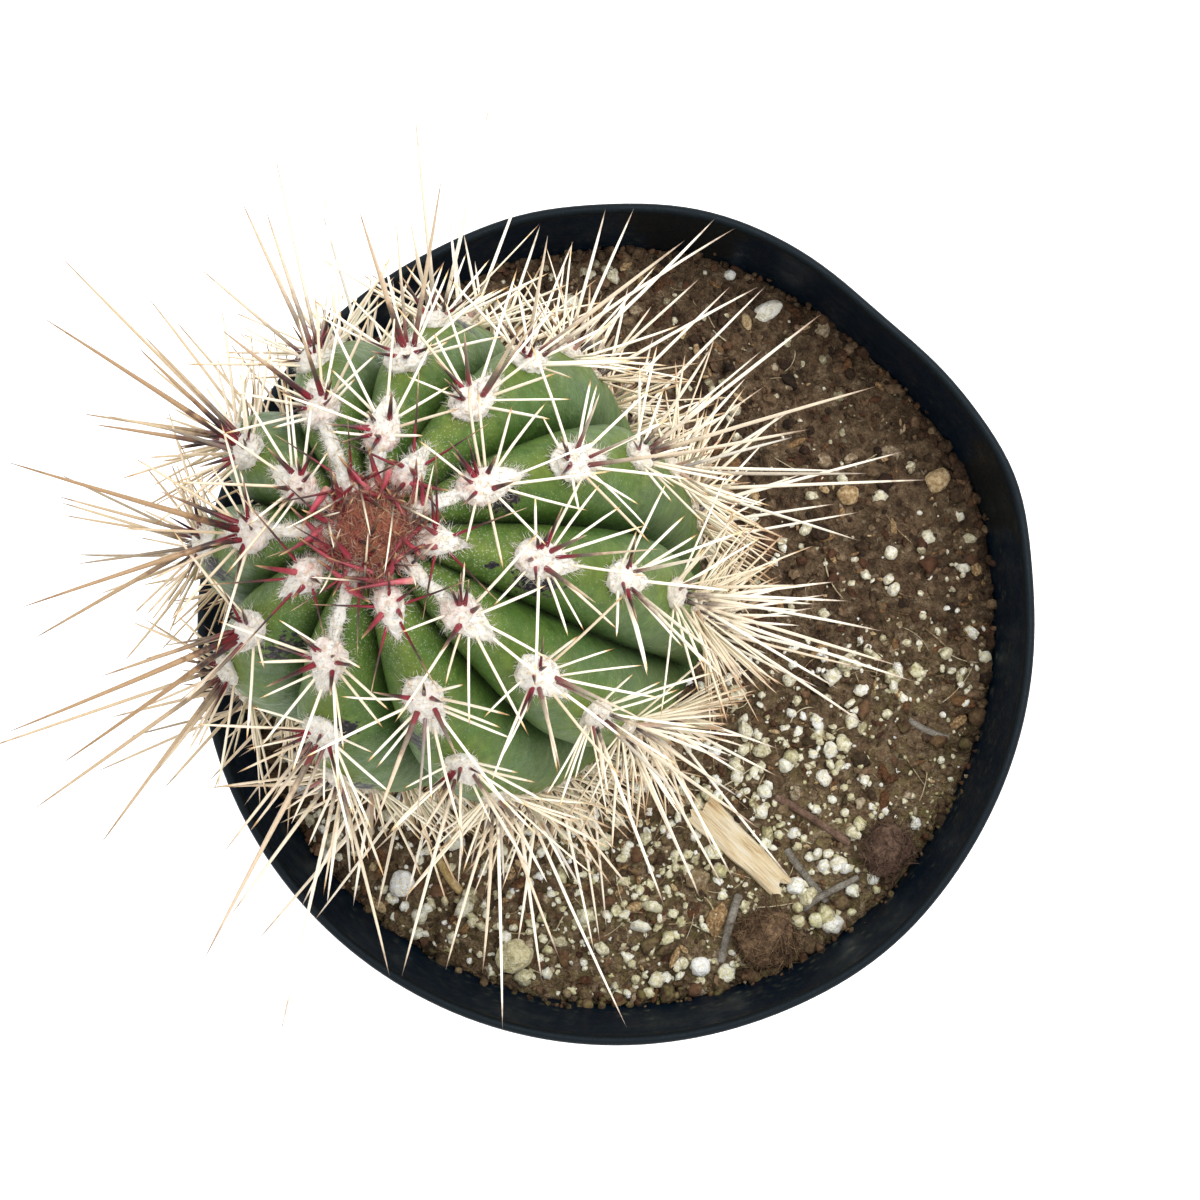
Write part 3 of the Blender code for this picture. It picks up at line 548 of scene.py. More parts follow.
def wood_look(name, dark, middle, light, grain=(1, 1, 1), size=0.5 * MM):
    """Dry wood or bark with its grain stretched one way."""
    look = Look(name, Specular_IOR_Level=0.25)
    fibres = look.noise(size, 5.0, 0.25, 0.75, stretch=grain, rough=0.65)
    value = look.math("ADD", look.math("MULTIPLY", fibres, 0.65),
                      look.math("MULTIPLY", look.noise(3 * MM, 4.0), 0.35))
    colour = look.ramp(value, (0.1, dark), (0.5, middle), (0.9, light))
    return look.finish(colour, look.span(look.noise(0.7 * MM), 0, 1, 0.7, 0.95), fibres, 0.15 * MM)


# ---------------------------------------------------------------- pot

def angle_between(first, second):
    """The signed difference of two bearings in degrees, from -180 to 180."""
    return (first - second + 180) % 360 - 180


def pushed_out_of_round(points):
    """Points of the soft pot moved where its wall is bent, more towards the rim."""
    x, y, z = points.T
    bearing = np.degrees(np.arctan2(y, x))
    shift = sum(push * np.exp(-((angle_between(bearing, centre) / width) ** 2)) for centre, push, width in RIM_BENDS)
    scale = 1 + shift * (z / POT_HEIGHT) ** 2 / RIM_RADIUS
    return np.stack([x * scale, y * scale, z], axis=-1)


def wall_inner_radius(z):
    """The inside of the pot's wall: steeper below the soil's surface than in the flared lip above it."""
    above = SOIL_RADIUS + GAP + (z - SOIL_TOP) / SOIL_DROP * (RIM_INNER_RADIUS - SOIL_RADIUS - GAP)
    below = BASE_RADIUS - WALL + z / SOIL_TOP * (SOIL_RADIUS + GAP - BASE_RADIUS + WALL)
    return np.where(z > SOIL_TOP, above, below)


def arc(centre_radius, centre_height, radius, start, end, points):
    """Points of an outline on a circle, from one angle to another in degrees."""
    angles = np.radians(np.linspace(start, end, points))
    return np.stack([centre_radius + radius * np.cos(angles), centre_height + radius * np.sin(angles)], axis=-1)


def turned(outline, steps):
    """Points and faces of a closed body turned about Z. The outline starts and ends on the axis."""
    outline = np.asarray(outline)
    angles = math.tau * np.arange(steps) / steps
    middle = outline[1:-1]
    points = np.stack([
        middle[:, :1] * np.cos(angles), middle[:, :1] * np.sin(angles), np.repeat(middle[:, 1:], steps, axis=1)
    ], axis=-1).reshape(-1, 3)
    ends = [(0, 0, outline[0, 1]), (0, 0, outline[-1, 1])]
    near = np.arange(steps)
    far = (near + 1) % steps
    level = steps * np.arange(len(middle) - 1)[:, None]
    quads = np.stack([level + near, level + near + steps, level + far + steps, level + far], axis=-1).reshape(-1, 4)
    first, last = len(points), len(points) + 1
    caps = np.concatenate([
        np.stack([near, far, np.full(steps, first)], axis=-1),
        np.stack([level[-1] + steps + far, level[-1] + steps + near, np.full(steps, last)], axis=-1),
    ])
    return np.concatenate([points, ends]), [quads, caps]


POT_STEPS = 192
LIP_POINTS = 13


def wall_rows(low, high, count, out=0.0):
    heights = np.linspace(low, high, count)
    return np.stack([wall_inner_radius(heights) + out, heights], axis=-1)


def make_pot():
    lip = (RIM_RADIUS - RIM_INNER_RADIUS) / 2
    bead_foot = POT_HEIGHT - BEAD_HEIGHT
    soil_side = SOIL_TOP - 0.2 * MM
    outline = np.concatenate([
        [(0.0, FLOOR), (wall_inner_radius(FLOOR) - FLOOR_CORNER, FLOOR)],
        wall_rows(FLOOR + WALL, soil_side, 8),
        wall_rows(SOIL_TOP + 2 * MM, POT_HEIGHT - 2.2 * lip, 5),
        arc(RIM_INNER_RADIUS + lip, POT_HEIGHT - lip, lip, 180, 0, LIP_POINTS),
        [(RIM_RADIUS, bead_foot + 1.6 * lip)],
        arc(RIM_RADIUS - 0.7 * lip, bead_foot + lip, 0.7 * lip, 0, -90, 5),
        wall_rows(bead_foot - lip, SOIL_TOP + 1 * MM, 3, WALL),
        wall_rows(soil_side, 2 * BASE_CORNER, 9, WALL),
        arc(BASE_RADIUS - BASE_CORNER, BASE_CORNER, BASE_CORNER, 0, -90, 8),
        [(0.0, 0.0)],
    ])
    points, faces = turned(outline, POT_STEPS)
    shell = Shapes()
    shell.add(pushed_out_of_round(points), [face[:, ::-1] for face in faces])
    raw = bpy.data.objects.new("pot_raw", shell.mesh("pot_raw"))
    bpy.context.scene.collection.objects.link(raw)
    cutters = []
    for i in range(DRAIN_HOLES):
        bearing = math.radians(DRAIN_BEARING + 360 * i / DRAIN_HOLES)
        outward = Vector((math.cos(bearing), math.sin(bearing), 0.0))
        place = Matrix.Translation(outward * BASE_RADIUS + Vector((0, 0, DRAIN_HEIGHT)))
        place = place @ outward.to_track_quat("Z", "Y").to_matrix().to_4x4()
        shape = bmesh.new()
        bmesh.ops.create_cone(
            shape, cap_ends=True, segments=36, radius1=DRAIN_RADIUS, radius2=DRAIN_RADIUS,
            depth=4 * DRAIN_RADIUS, matrix=place,
        )
        mesh = bpy.data.meshes.new("hole")
        shape.to_mesh(mesh)
        shape.free()
        cutter = bpy.data.objects.new("hole", mesh)
        bpy.context.scene.collection.objects.link(cutter)
        cut = raw.modifiers.new("hole", "BOOLEAN")
        cut.object = cutter
        cutters.append(cutter)
    bpy.context.view_layer.update()
    mesh = bpy.data.meshes.new_from_object(raw.evaluated_get(bpy.context.evaluated_depsgraph_get()))
    for spare in [raw, *cutters]:
        bpy.data.objects.remove(spare)
    x, y, z = np.array([vertex.co for vertex in mesh.vertices]).T
    radius = np.hypot(x, y)
    inside = (radius < wall_inner_radius(z) + WALL / 2) & (z > FLOOR / 2) & (z < POT_HEIGHT - lip)
    toward = np.clip((x * 0.45 - y * 0.9) / RIM_RADIUS, 0, 1)
    low = inside * np.clip((POT_HEIGHT - 3 * MM - z) / (14 * MM), 0, 1) * (0.35 + 0.65 * toward)
    for name, values in {"inside": inside * 1.0, "low": low}.items():
        mesh.attributes.new(name, "FLOAT", "POINT").data.foreach_set("value", values.astype(np.float32))
    return add_piece("pot_shell", mesh, pot_look(), "pot", "pot", smooth_within=50)


# ---------------------------------------------------------------- soil

SOIL_CELLS = 216


def smooth_soil(x, y):
    """The solid model's soil surface."""
    flat = np.stack([x, y, np.zeros_like(x)], axis=-1)
    deep = flat + (0.0, 0.0, CRUMB_LAYER)
    swell = noise_at(flat, LUMP_SIZE) * LUMP_HEIGHT
    crumbs = noise_at(deep, CRUMB_SIZE) * CRUMB_HEIGHT
    return SOIL_TOP + swell + crumbs - (np.hypot(x, y) / SOIL_RADIUS) ** EDGE_POWER * EDGE_FALL


def soil_height(x, y):
    """The same surface with its fine crumbs."""
    flat = np.stack([x, y, np.zeros_like(x)], axis=-1)
    coarse = 1 - 2 * np.abs(noise_at(flat, 4.6 * MM, 3))
    middle = 1 - 2 * np.abs(noise_at(flat, 2.1 * MM, 4))
    fine = noise_at(flat, 0.9 * MM, 5)
    return smooth_soil(x, y) + 0.85 * MM * coarse + 0.7 * MM * middle + 0.3 * MM * fine - 0.7 * MM


def algae_at(x, y):
    """0 to 1: how green the mix is. It is greenest at the lower right, where it stays wet."""
    toward = np.clip((x * 0.35 - y * 0.92) / SOIL_RADIUS, 0, 1)
    flat = np.stack([x, y, np.zeros_like(x)], axis=-1)
    return np.clip(toward * 1.15 + 0.35 * noise_at(flat, 16 * MM, 8) - 0.1, 0, 1)


def make_soil():
    cells = np.linspace(-1, 1, SOIL_CELLS + 1)
    u, v = np.meshgrid(cells, cells, indexing="ij")
    wide = np.abs(u) > np.abs(v)
    radius = np.where(wide, u, v)
    other = np.where(wide, v, u)
    angle = np.where(radius == 0, 0.0, math.pi / 4 * other / np.where(radius == 0, 1.0, radius))
    angle = np.where(wide, angle, math.pi / 2 - angle)
    x, y = (radius * np.cos(angle) * SOIL_RADIUS).ravel(), (radius * np.sin(angle) * SOIL_RADIUS).ravel()
    z = soil_height(x, y)
    count = SOIL_CELLS + 1
    index = np.arange(count * count).reshape(count, count)
    edge = np.concatenate([index[:-1, 0], index[-1, :-1], index[:0:-1, -1], index[0, :0:-1]])
    ring = wall_inner_radius(np.minimum(z[edge], SOIL_TOP)) - 0.1 * MM
    scale = ring / np.hypot(x[edge], y[edge])
    x[edge], y[edge] = x[edge] * scale, y[edge] * scale
    top = np.stack([x, y, z], axis=-1)
    quads = np.stack([index[:-1, :-1], index[1:, :-1], index[1:, 1:], index[:-1, 1:]], axis=-1).reshape(-1, 4)
    skirt, faces, above = [], [quads], edge
    next_edge = len(top)
    bearing = np.arctan2(y[edge], x[edge])
    bottom = FLOOR + GAP
    for reach, height in (
        (wall_inner_radius(MID_WALL) - GAP, MID_WALL),
        (wall_inner_radius(FLOOR + WALL) - GAP, FLOOR + WALL + GAP),
        (wall_inner_radius(FLOOR) - FLOOR_CORNER - GAP, bottom),
    ):
        below = next_edge + np.arange(len(edge))
        next_edge += len(edge)
        skirt.append(np.stack([reach * np.cos(bearing), reach * np.sin(bearing), np.full(len(edge), height)], axis=-1))
        faces.append(np.stack([above, below, np.roll(below, -1), np.roll(above, -1)], axis=-1))
        above = below
    faces.append(above[None, ::-1])
    points = pushed_out_of_round(np.concatenate([top, *skirt]))
    shapes = Shapes()
    # rise is the height above the smooth surface in millimetres; the soil material turns it into painted shade in the
    # hollows and painted light on the tops.
    rise = np.zeros(len(points))
    rise[: len(top)] = (z - smooth_soil(x, y)) / MM
    shapes.add(points, faces, algae=algae_at(points[:, 0], points[:, 1]), rise=rise)
    return shapes.piece("soil_surface", soil_look(), "soil", "soil")


# Footprints that grains keep off: middle, and reach along and across, with the bearing in degrees
WOOD_CHIP_ENDS = np.array(((17.2 * MM, -37.1 * MM), (33.5 * MM, -52.8 * MM)))
WOOD_CHIP_WIDTH = 7.0 * MM
WOOD_CHIP_THICKNESS = 3.0 * MM
CHIP_LIFT = 0.3
STONE_LIFT = 0.35
STONE_ROUGHNESS = 0.22
STONES = {
    "pumice_large": ((-20.6 * MM, -67.1 * MM), (3.7 * MM, 3.3 * MM, 3.0 * MM), 20),
    "perlite_large": ((-43.6 * MM, -52.3 * MM), (2.8 * MM, 2.4 * MM, 2.3 * MM), 70),
    "perlite_oval": ((31.2 * MM, 65.0 * MM), (3.3 * MM, 1.9 * MM, 1.7 * MM), 25),
    "pebble_tan": ((47.6 * MM, 27.0 * MM), (2.3 * MM, 2.0 * MM, 1.8 * MM), 0),
    "pebble_edge": ((66.0 * MM, 30.2 * MM), (2.7 * MM, 2.3 * MM, 2.0 * MM), 40),
    "fibre_lump": ((30.9 * MM, -63.6 * MM), (5.8 * MM, 5.4 * MM, 3.8 * MM), 10),
    "bark_lump": ((55.2 * MM, -45.4 * MM), (5.3 * MM, 4.6 * MM, 3.6 * MM), 60),
}
TWIGS = {
    "twig_red": (((32.6, -34.6), (39.6, -38.8), (47.6, -44.2)), 0.8, (0.5, 0.9, 0.8)),
    "twig_grey_low": (((34.8, -45.4), (38.4, -50.4), (42.9, -56.0)), 0.8, (0.4, 0.5, 0.4)),
    "twig_grey_top": (((38.4, -57.6), (42.0, -54.7), (49.4, -51.2)), 0.7, (0.4, 2.6, 0.6)),
    "stem_bent": (((25.2, -54.6), (23.2, -60.8), (21.4, -68.4)), 0.9, (0.6, 1.2, 0.5)),
    "twig_short": (((59.8, -18.9), (63.8, -21.3), (68.0, -22.6)), 0.7, (0.3, 0.6, 0.4)),
    "straw": (((-36.4, -47.2), (-34.6, -50.6), (-31.7, -54.2)), 0.9, (0.4, 0.7, 0.4)),
}


def clear_of_pieces(x, y, margin):
    """Which of the places are off the larger loose pieces."""
    clear = np.ones(len(x), bool)
    for (px, py), size, _ in STONES.values():
        clear &= np.hypot(x - px, y - py) > max(size[:2]) + margin
    near, far = WOOD_CHIP_ENDS
    way = (far - near) / np.linalg.norm(far - near)
    along = (x - near[0]) * way[0] + (y - near[1]) * way[1]
    across = np.abs((x - near[0]) * -way[1] + (y - near[1]) * way[0])
    on_chip = (along > -margin) & (along < np.linalg.norm(far - near) + margin) & (across < WOOD_CHIP_WIDTH / 2 + margin)
    clear &= ~on_chip
    for ends, radius, _ in TWIGS.values():
        ends = np.array(ends) * MM
        for start, end in zip(ends[:-1], ends[1:]):
            way = end - start
            share = np.clip(((x - start[0]) * way[0] + (y - start[1]) * way[1]) / (way @ way), 0, 1)
            away = np.hypot(x - start[0] - share * way[0], y - start[1] - share * way[1])
            clear &= away > radius * MM + margin
    return clear


def scattered(draw, count, margin=0.0, reach=SOIL_RADIUS - 1.2 * MM, crowding=None):
    """Random places on the soil, off the loose pieces and the stem, thicker where crowding says so."""
    found = []
    while sum(map(len, found)) < count:
        x, y = draw.uniform(-reach, reach, (2, 4 * count))
        keep = (np.hypot(x, y) < reach) & (np.hypot(x - STEM_FOOT[0], y - STEM_FOOT[1]) > FOOT_RADIUS - 2 * MM)
        keep &= clear_of_pieces(x, y, margin)
        if crowding is not None:
            keep &= draw.uniform(0, 1, len(x)) < crowding(x, y)
        found.append(np.stack([x[keep], y[keep]], axis=-1))
    return np.concatenate(found)[:count].T


def pale_crowding(x, y):
    """Pale grains lie thickest in the lower half of the picture and in patches."""
    flat = np.stack([x, y, np.zeros_like(x)], axis=-1)
    patches = 0.5 + 0.9 * noise_at(flat, 13 * MM, 11)
    lower = np.clip(0.42 - y / SOIL_RADIUS, 0.12, 1)
    return np.clip(lower * (0.35 + patches), 0, 1)


def make_crumbs():
    draw = np.random.default_rng(21)
    shapes = Shapes()
    for count, low, high, level in ((2900, 0.35, 1.0, 1), (640, 0.7, 1.9, 2), (170, 1.5, 3.1, 2)):
        x, y = scattered(draw, count)
        size = draw.uniform(low, high, (count, 3)) * MM * (0.8, 0.8, 0.6)
        z = soil_height(x, y) + draw.uniform(-0.4, 0.3, count) * size[:, 2]
        shade = draw.beta(1.3, 2.1, count) + 0.24 * algae_at(x, y)
        add_grains(
            shapes, draw, np.stack([x, y, z], axis=-1), size, random_turns(draw, count), level, 0.55, 0.7,
            shade=shade, rust=draw.uniform(0, 1, count) ** 4, algae=algae_at(x, y) * draw.uniform(0, 1, count),
        )
    # A ragged edge: crumbs that cling to the wall just above the soil
    count = 560
    bearing = draw.uniform(0, math.tau, count)
    climb = np.abs(draw.normal(0, 0.9, count)) * MM * (0.5 + noise_at(
        np.stack([np.cos(bearing), np.sin(bearing), np.zeros(count)], axis=-1), 0.12, 2) ** 2 * 6)
    climb *= 1 + 0.9 * algae_at(SOIL_RADIUS * np.cos(bearing), SOIL_RADIUS * np.sin(bearing))
    climb = np.minimum(climb, 4.5 * MM)
    size = (0.5 + 2.2 * draw.beta(1, 3.5, (count, 1))) * draw.uniform(0.7, 1.2, (count, 3)) * MM
    size *= (1 - 0.5 * climb / (4.5 * MM))[:, None]
    reach = wall_inner_radius(SOIL_TOP + climb) - 0.45 * size[:, 0] - (climb < 1 * MM) * draw.uniform(0, 1.6, count) * MM
    x, y = reach * np.cos(bearing), reach * np.sin(bearing)
    places = pushed_out_of_round(np.stack([x, y, SOIL_TOP - 0.6 * MM + climb], axis=-1))
    add_grains(
        shapes, draw, places, size, random_turns(draw, count), 1, 0.5, 0.7, shade=draw.beta(1.6, 3, count),
        rust=draw.uniform(0, 1, count) ** 3, algae=algae_at(x, y) * draw.uniform(0, 1, count),
    )
    return shapes.piece("soil_crumbs", crumb_look(), "soil", smooth_within=60)


# The paler stones that stand out in the picture: place in millimetres, size, shade and greenness
SHOWN_GRAINS = (
    (17.2, -69.6, 2.1, 1.0, 0.1), (44.2, -60.8, 2.3, 0.95, 0.4), (40.8, -59.8, 1.8, 0.7, 0.9),
    (36.7, -52.5, 1.8, 0.9, 0.3), (42.2, -48.8, 1.4, 0.85, 0.2), (45.3, -48.4, 1.5, 0.7, 0.1),
    (30.4, -33.4, 1.6, 0.85, 0.5), (34.5, -28.3, 1.7, 0.85, 0.5), (56.7, 7.5, 1.5, 0.55, 0.0),
    (56.1, 15.1, 1.4, 0.6, 0.0), (41.5, 66.5, 1.2, 0.8, 0.0), (23.5, 72.5, 1.3, 0.9, 0.0),
)


def make_pale_grains():
    draw = np.random.default_rng(22)
    shapes = Shapes()
    for count, low, high, level in ((1100, 0.25, 0.6, 1), (760, 0.5, 1.2, 2), (170, 1.0, 2.0, 2)):
        x, y = scattered(draw, count, 0.4 * MM, crowding=pale_crowding)
        size = draw.uniform(low, high, (count, 1)) * draw.uniform(0.6, 1.3, (count, 3)) * MM
        z = soil_height(x, y) + draw.uniform(0.0, 0.5, count) * size[:, 2]
        add_grains(
            shapes, draw, np.stack([x, y, z], axis=-1), size, random_turns(draw, count), level, 0.5, 0.7,
            shade=draw.beta(2.6, 1.8, count) - 0.35 * np.clip(y / SOIL_RADIUS + 0.2, 0, 1),
            algae=algae_at(x, y) * draw.uniform(0.3, 1, count),
        )
    x, y, reach, shade, green = np.array(SHOWN_GRAINS).T
    x, y = x * MM, y * MM
    size = reach[:, None] * MM * draw.uniform(0.8, 1.15, (len(x), 3))
    z = soil_height(x, y) + 0.35 * size[:, 2]
    add_grains(shapes, draw, np.stack([x, y, z], axis=-1), size, random_turns(draw, len(x)), 3, 0.3,
               shade=shade, algae=green)
    look = stone_look("perlite", "#8f8468", "#e3dabb", "#ffffff")
    return shapes.piece("perlite_grains", look, "perlite", smooth_within=70)


def make_bark_flecks():
    draw = np.random.default_rng(23)
    shapes = Shapes()
    for count, long, level in ((560, (1.0, 2.8), 1), (170, (2.2, 4.8), 2)):
        x, y = scattered(draw, count, 0.5 * MM)
        length = draw.uniform(*long, count) * 0.5 * MM
        size = np.stack([length, length * draw.uniform(0.3, 0.6, count), length * draw.uniform(0.15, 0.3, count)], axis=-1)
        tilt = spins(draw.uniform(0, math.tau, count))
        lean = draw.uniform(-0.35, 0.35, count)
        tip = np.stack([np.cos(lean), 0 * lean, np.sin(lean), 0 * lean, 0 * lean + 1, 0 * lean, -np.sin(lean),
                        0 * lean, np.cos(lean)], axis=-1).reshape(-1, 3, 3)
        z = soil_height(x, y) + size[:, 2] * 0.8
        add_grains(shapes, draw, np.stack([x, y, z], axis=-1), size, tilt @ tip, level, 0.28,
                   shade=draw.uniform(0, 1, count))
    # The large tan piece of bark beside the bent stem
    place = np.array((20.6 * MM, -59.7 * MM))
    height = smooth_soil(place[:1], place[1:]) + 0.4 * MM
    add_grains(shapes, draw, np.append(place, height)[None], np.array([(3.3, 2.0, 1.0)]) * MM,
               spins(np.array([1.2])), 4, 0.35, 0.8, shade=0.78)
    look = Look("bark_flecks", Specular_IOR_Level=0.25)
    value = look.math("ADD", look.mark("shade"), look.span(look.noise(0.5 * MM, 4.0), 0, 1, -0.2, 0.2))
    colour = look.ramp(value, (0.0, "#3a2417"), (0.35, "#6a4529"), (0.65, "#8c6a45"), (0.85, "#b08f64"), (1.0, "#d9bf92"))
    rough = look.span(look.noise(0.6 * MM), 0, 1, 0.75, 0.95)
    bark = look.finish(colour, rough, look.noise(0.3 * MM, 4.0), 0.12 * MM)
    return shapes.piece("bark_flecks", bark, "bark_lump", smooth_within=50)


def make_soil_fibres():
    """Thin roots and straws that lie on the mix."""
    draw = np.random.default_rng(24)
    count, places = 190, 9
    x, y = scattered(draw, count, 0.2 * MM, SOIL_RADIUS - 5 * MM, lambda x, y: 0.1 + 0.9 * algae_at(x, y))
    bearing = draw.uniform(0, math.tau, count)
    length = draw.uniform(2.5, 10, count) * MM
    curl = draw.normal(0, 0.9, count)
    share = np.linspace(0, 1, places)
    heading = bearing[:, None] + curl[:, None] * share
    step = length[:, None] / (places - 1)
    px = x[:, None] + np.cumsum(np.cos(heading) * step, axis=1)
    py = y[:, None] + np.cumsum(np.sin(heading) * step, axis=1)
    inside = np.hypot(px, py).max(axis=1) < SOIL_RADIUS - 1.5 * MM
    px, py = px[inside], py[inside]
    count = len(px)
    hump = np.sin(math.pi * share) * draw.uniform(0.0, 1.0, count)[:, None] * MM
    pz = soil_height(px.ravel(), py.ravel()).reshape(px.shape)
    pz = 0.5 * pz + 0.5 * pz.mean(axis=1, keepdims=True) + 0.25 * MM + hump
    radius = draw.uniform(0.07, 0.2, count)[:, None] * MM * np.linspace(1, 0.6, places)
    shapes = Shapes()
    add_tubes(shapes, np.stack([px, py, pz], axis=-1), radius, 5, share, shade=draw.uniform(0, 1, count))
    # A pale root that curls round the ball of fibre
    share = np.linspace(0, 1, 24)
    turn = np.radians(205 + 75 * share)
    root = np.stack([30.9 + 7.0 * np.cos(turn), -63.6 + 7.6 * np.sin(turn)], axis=-1) * MM
    root = np.column_stack([root, smooth_soil(*root.T) + 0.5 * MM])
    root += np.column_stack([noise_at(root, 1.6 * MM, layer) for layer in (1, 2, 3)]) * 0.25 * MM
    thick = 0.5 * MM * (1 + 0.3 * noise_at(root, 1.2 * MM, 4))
    add_tubes(shapes, root[None], thick[None], 8, share, shade=np.array([0.85]))
    look = Look("root_fibres", Specular_IOR_Level=0.3)
    value = look.math("ADD", look.mark("shade"), look.span(look.noise(0.7 * MM, 3.0), 0, 1, -0.2, 0.2))
    colour = look.ramp(value, (0.0, "#5a3a26"), (0.4, "#8d7452"), (0.75, "#c9b58c"), (1.0, "#e8dcbc"))
    fibre = look.finish(colour, look.span(look.noise(0.5 * MM), 0, 1, 0.7, 0.9), look.noise(0.25 * MM), 0.05 * MM)
    return shapes.piece("root_fibres", fibre, "straw")


# ---------------------------------------------------------------- loose pieces

def make_wood_chip():
    """A split chip of pale wood, thinner and narrower at its far end, with splintered ends."""
    near, far = WOOD_CHIP_ENDS
    length = np.linalg.norm(far - near)
    rows, around = 64, 44
    angle = math.tau * np.arange(around) / around
    squared = 0.45
    side = np.sign(np.cos(angle)) * np.abs(np.cos(angle)) ** squared
    lift = np.sign(np.sin(angle)) * np.abs(np.sin(angle)) ** squared
    share = np.linspace(0, 1, rows)[:, None]
    taper_width, taper_height = 1 - 0.28 * share, 1 - 0.3 * share
    y = side * taper_width * WOOD_CHIP_WIDTH / 2
    z = lift * taper_height * WOOD_CHIP_THICKNESS / 2
    strand = np.stack([y, z, np.zeros_like(y)], axis=-1)
    fray = noise_at(strand.reshape(-1, 3), 0.8 * MM, 2).reshape(y.shape)
    slant = 0.22 * side
    x = (share - 0.5) * length * (1 + 0.0 * y) + (share ** 6) * (fray * 2.6 * MM + slant * 3 * MM)
    x -= ((1 - share) ** 6) * (fray * 2.0 * MM - slant * 1.5 * MM)
    body = np.stack([x, y, z], axis=-1).reshape(-1, 3)
    streaks = noise_at(body * (0.08, 1, 1), 0.55 * MM, 5) * 0.34 + noise_at(body * (0.25, 1, 1), 1.5 * MM, 6) * 0.5
    out = unit(np.stack([0 * x, side + 0 * y, lift + 0 * z], axis=-1)).reshape(-1, 3)
    body = body + out * (streaks * MM * 0.8)[:, None]
    bend = (body[:, 0] / length) ** 2 * 1.0 * MM
    body[:, 2] -= bend
    near_ring = np.arange(around)
    far_ring = (near_ring + 1) % around
    level = around * np.arange(rows - 1)[:, None]
    quads = np.stack(
        [level + near_ring, level + near_ring + around, level + far_ring + around, level + far_ring], axis=-1
    ).reshape(-1, 4)
    start, end = len(body), len(body) + 1
    ends = np.array([body[:around].mean(axis=0) + (0.8 * MM, 0, 0), body[-around:].mean(axis=0) - (1.0 * MM, 0, 0)])
    caps = np.concatenate([
        np.stack([near_ring, far_ring, np.full(around, start)], axis=-1),
        np.stack([level[-1] + around + far_ring, level[-1] + around + near_ring, np.full(around, end)], axis=-1),
    ])
    middle = (near + far) / 2
    bearing = np.array([math.atan2(far[1] - near[1], far[0] - near[0])])
    height = smooth_soil(middle[:1], middle[1:])[0] + CHIP_LIFT * WOOD_CHIP_THICKNESS
    points = np.concatenate([body, ends]) @ spins(bearing)[0].T + (*middle, height)
    shapes = Shapes()
    pale = np.clip(0.5 + 0.5 * noise_at(np.concatenate([body, ends]) * (0.3, 1, 1), 1.8 * MM, 9), 0, 1)
    shapes.add(points, [quads[:, ::-1], caps[:, ::-1]], shade=pale)
    look = Look("pale_wood", Specular_IOR_Level=0.25)
    turn = look.nodes.new("ShaderNodeMapping")
    look.wire(turn.inputs["Vector"], look.where)
    turn.inputs["Rotation"].default_value = (0, 0, -bearing[0])
    look.where = turn.outputs[0]
    fibres = look.noise(0.45 * MM, 5.0, 0.25, 0.75, stretch=(14, 1, 1), rough=0.65)
    value = look.math("ADD", look.math("MULTIPLY", fibres, 0.55), look.math("MULTIPLY", look.mark("shade"), 0.5))
    colour = look.ramp(value, (0.12, "#8a6540"), (0.3, "#d2b181"), (0.5, "#f2dcb3"), (0.75, "#fff4db"), (1.0, "#fffdf4"))
    wood = look.finish(colour, look.span(look.noise(0.7 * MM), 0, 1, 0.7, 0.9), fibres, 0.18 * MM)
    return shapes.piece("split_wood_chip", wood, "wood_chip", "wood_chip", smooth_within=50)


def make_stone(name, piece, look, slot, fine=0.05, level=5, shade=0.6, green=0.0):
    """A loose stone or lump on the solid model's own outline, with finer relief."""
    (x, y), size, bearing = STONES[name]
    round_points, faces = ball(level)
    offset = np.array((x, y, 0.0)) / MM
    coarse = np.array([noise.noise(place) for place in (round_points + offset).tolist()])
    relief = noise_at(round_points, 0.34, 3) + 0.6 * noise_at(round_points, 0.15, 4)
    points = round_points * (1 + STONE_ROUGHNESS * coarse + fine * relief)[:, None]
    height = smooth_soil(np.array([x]), np.array([y]))[0] + STONE_LIFT * size[2]
    points = (points * size) @ spins(np.array([math.radians(bearing)]))[0].T + (x, y, height)
    shapes = Shapes()
    # Painted shade and light: the stone's colour is darker in the pits of its fine relief and lighter on its bumps.
    shapes.add(points, [faces], shade=shade + 0.2 * relief, algae=green)
    return shapes.piece(piece, look, slot, name)


def make_strands(name, piece, look, slot, count, seed):
    """Curved strands that lie round a lump and stick out of it."""
    draw = np.random.default_rng(seed)
    (x, y), size, bearing = STONES[name]
    middle = np.array((x, y, smooth_soil(np.array([x]), np.array([y]))[0] + STONE_LIFT * size[2]))
    out = unit(draw.normal(size=(count, 3)) * (1, 1, 0.8) + (0, 0, 0.45))
    way = unit(np.cross(out, draw.normal(size=(count, 3)))) + out * draw.uniform(-0.05, 0.55, (count, 1))
    share = np.linspace(0, 1, 6)[:, None]
    length = draw.uniform(1.5, 5.0, count)[:, None, None] * MM
    curl = draw.normal(0, 0.25, (count, 1, 3))
    local = out[:, None] * size * 0.98 + (way[:, None] * share + curl * share**2) * length
    local[:, :, 2] = np.maximum(local[:, :, 2], -STONE_LIFT * size[2])
    paths = local @ spins(np.array([math.radians(bearing)]))[0].T + middle
    radii = draw.uniform(0.05, 0.19, count)[:, None] * MM * np.linspace(1, 0.4, 6)
    shapes = Shapes()
    add_tubes(shapes, paths, radii, 4, share[:, 0], shade=draw.uniform(0, 1, count))
    return shapes.piece(piece, look, slot)


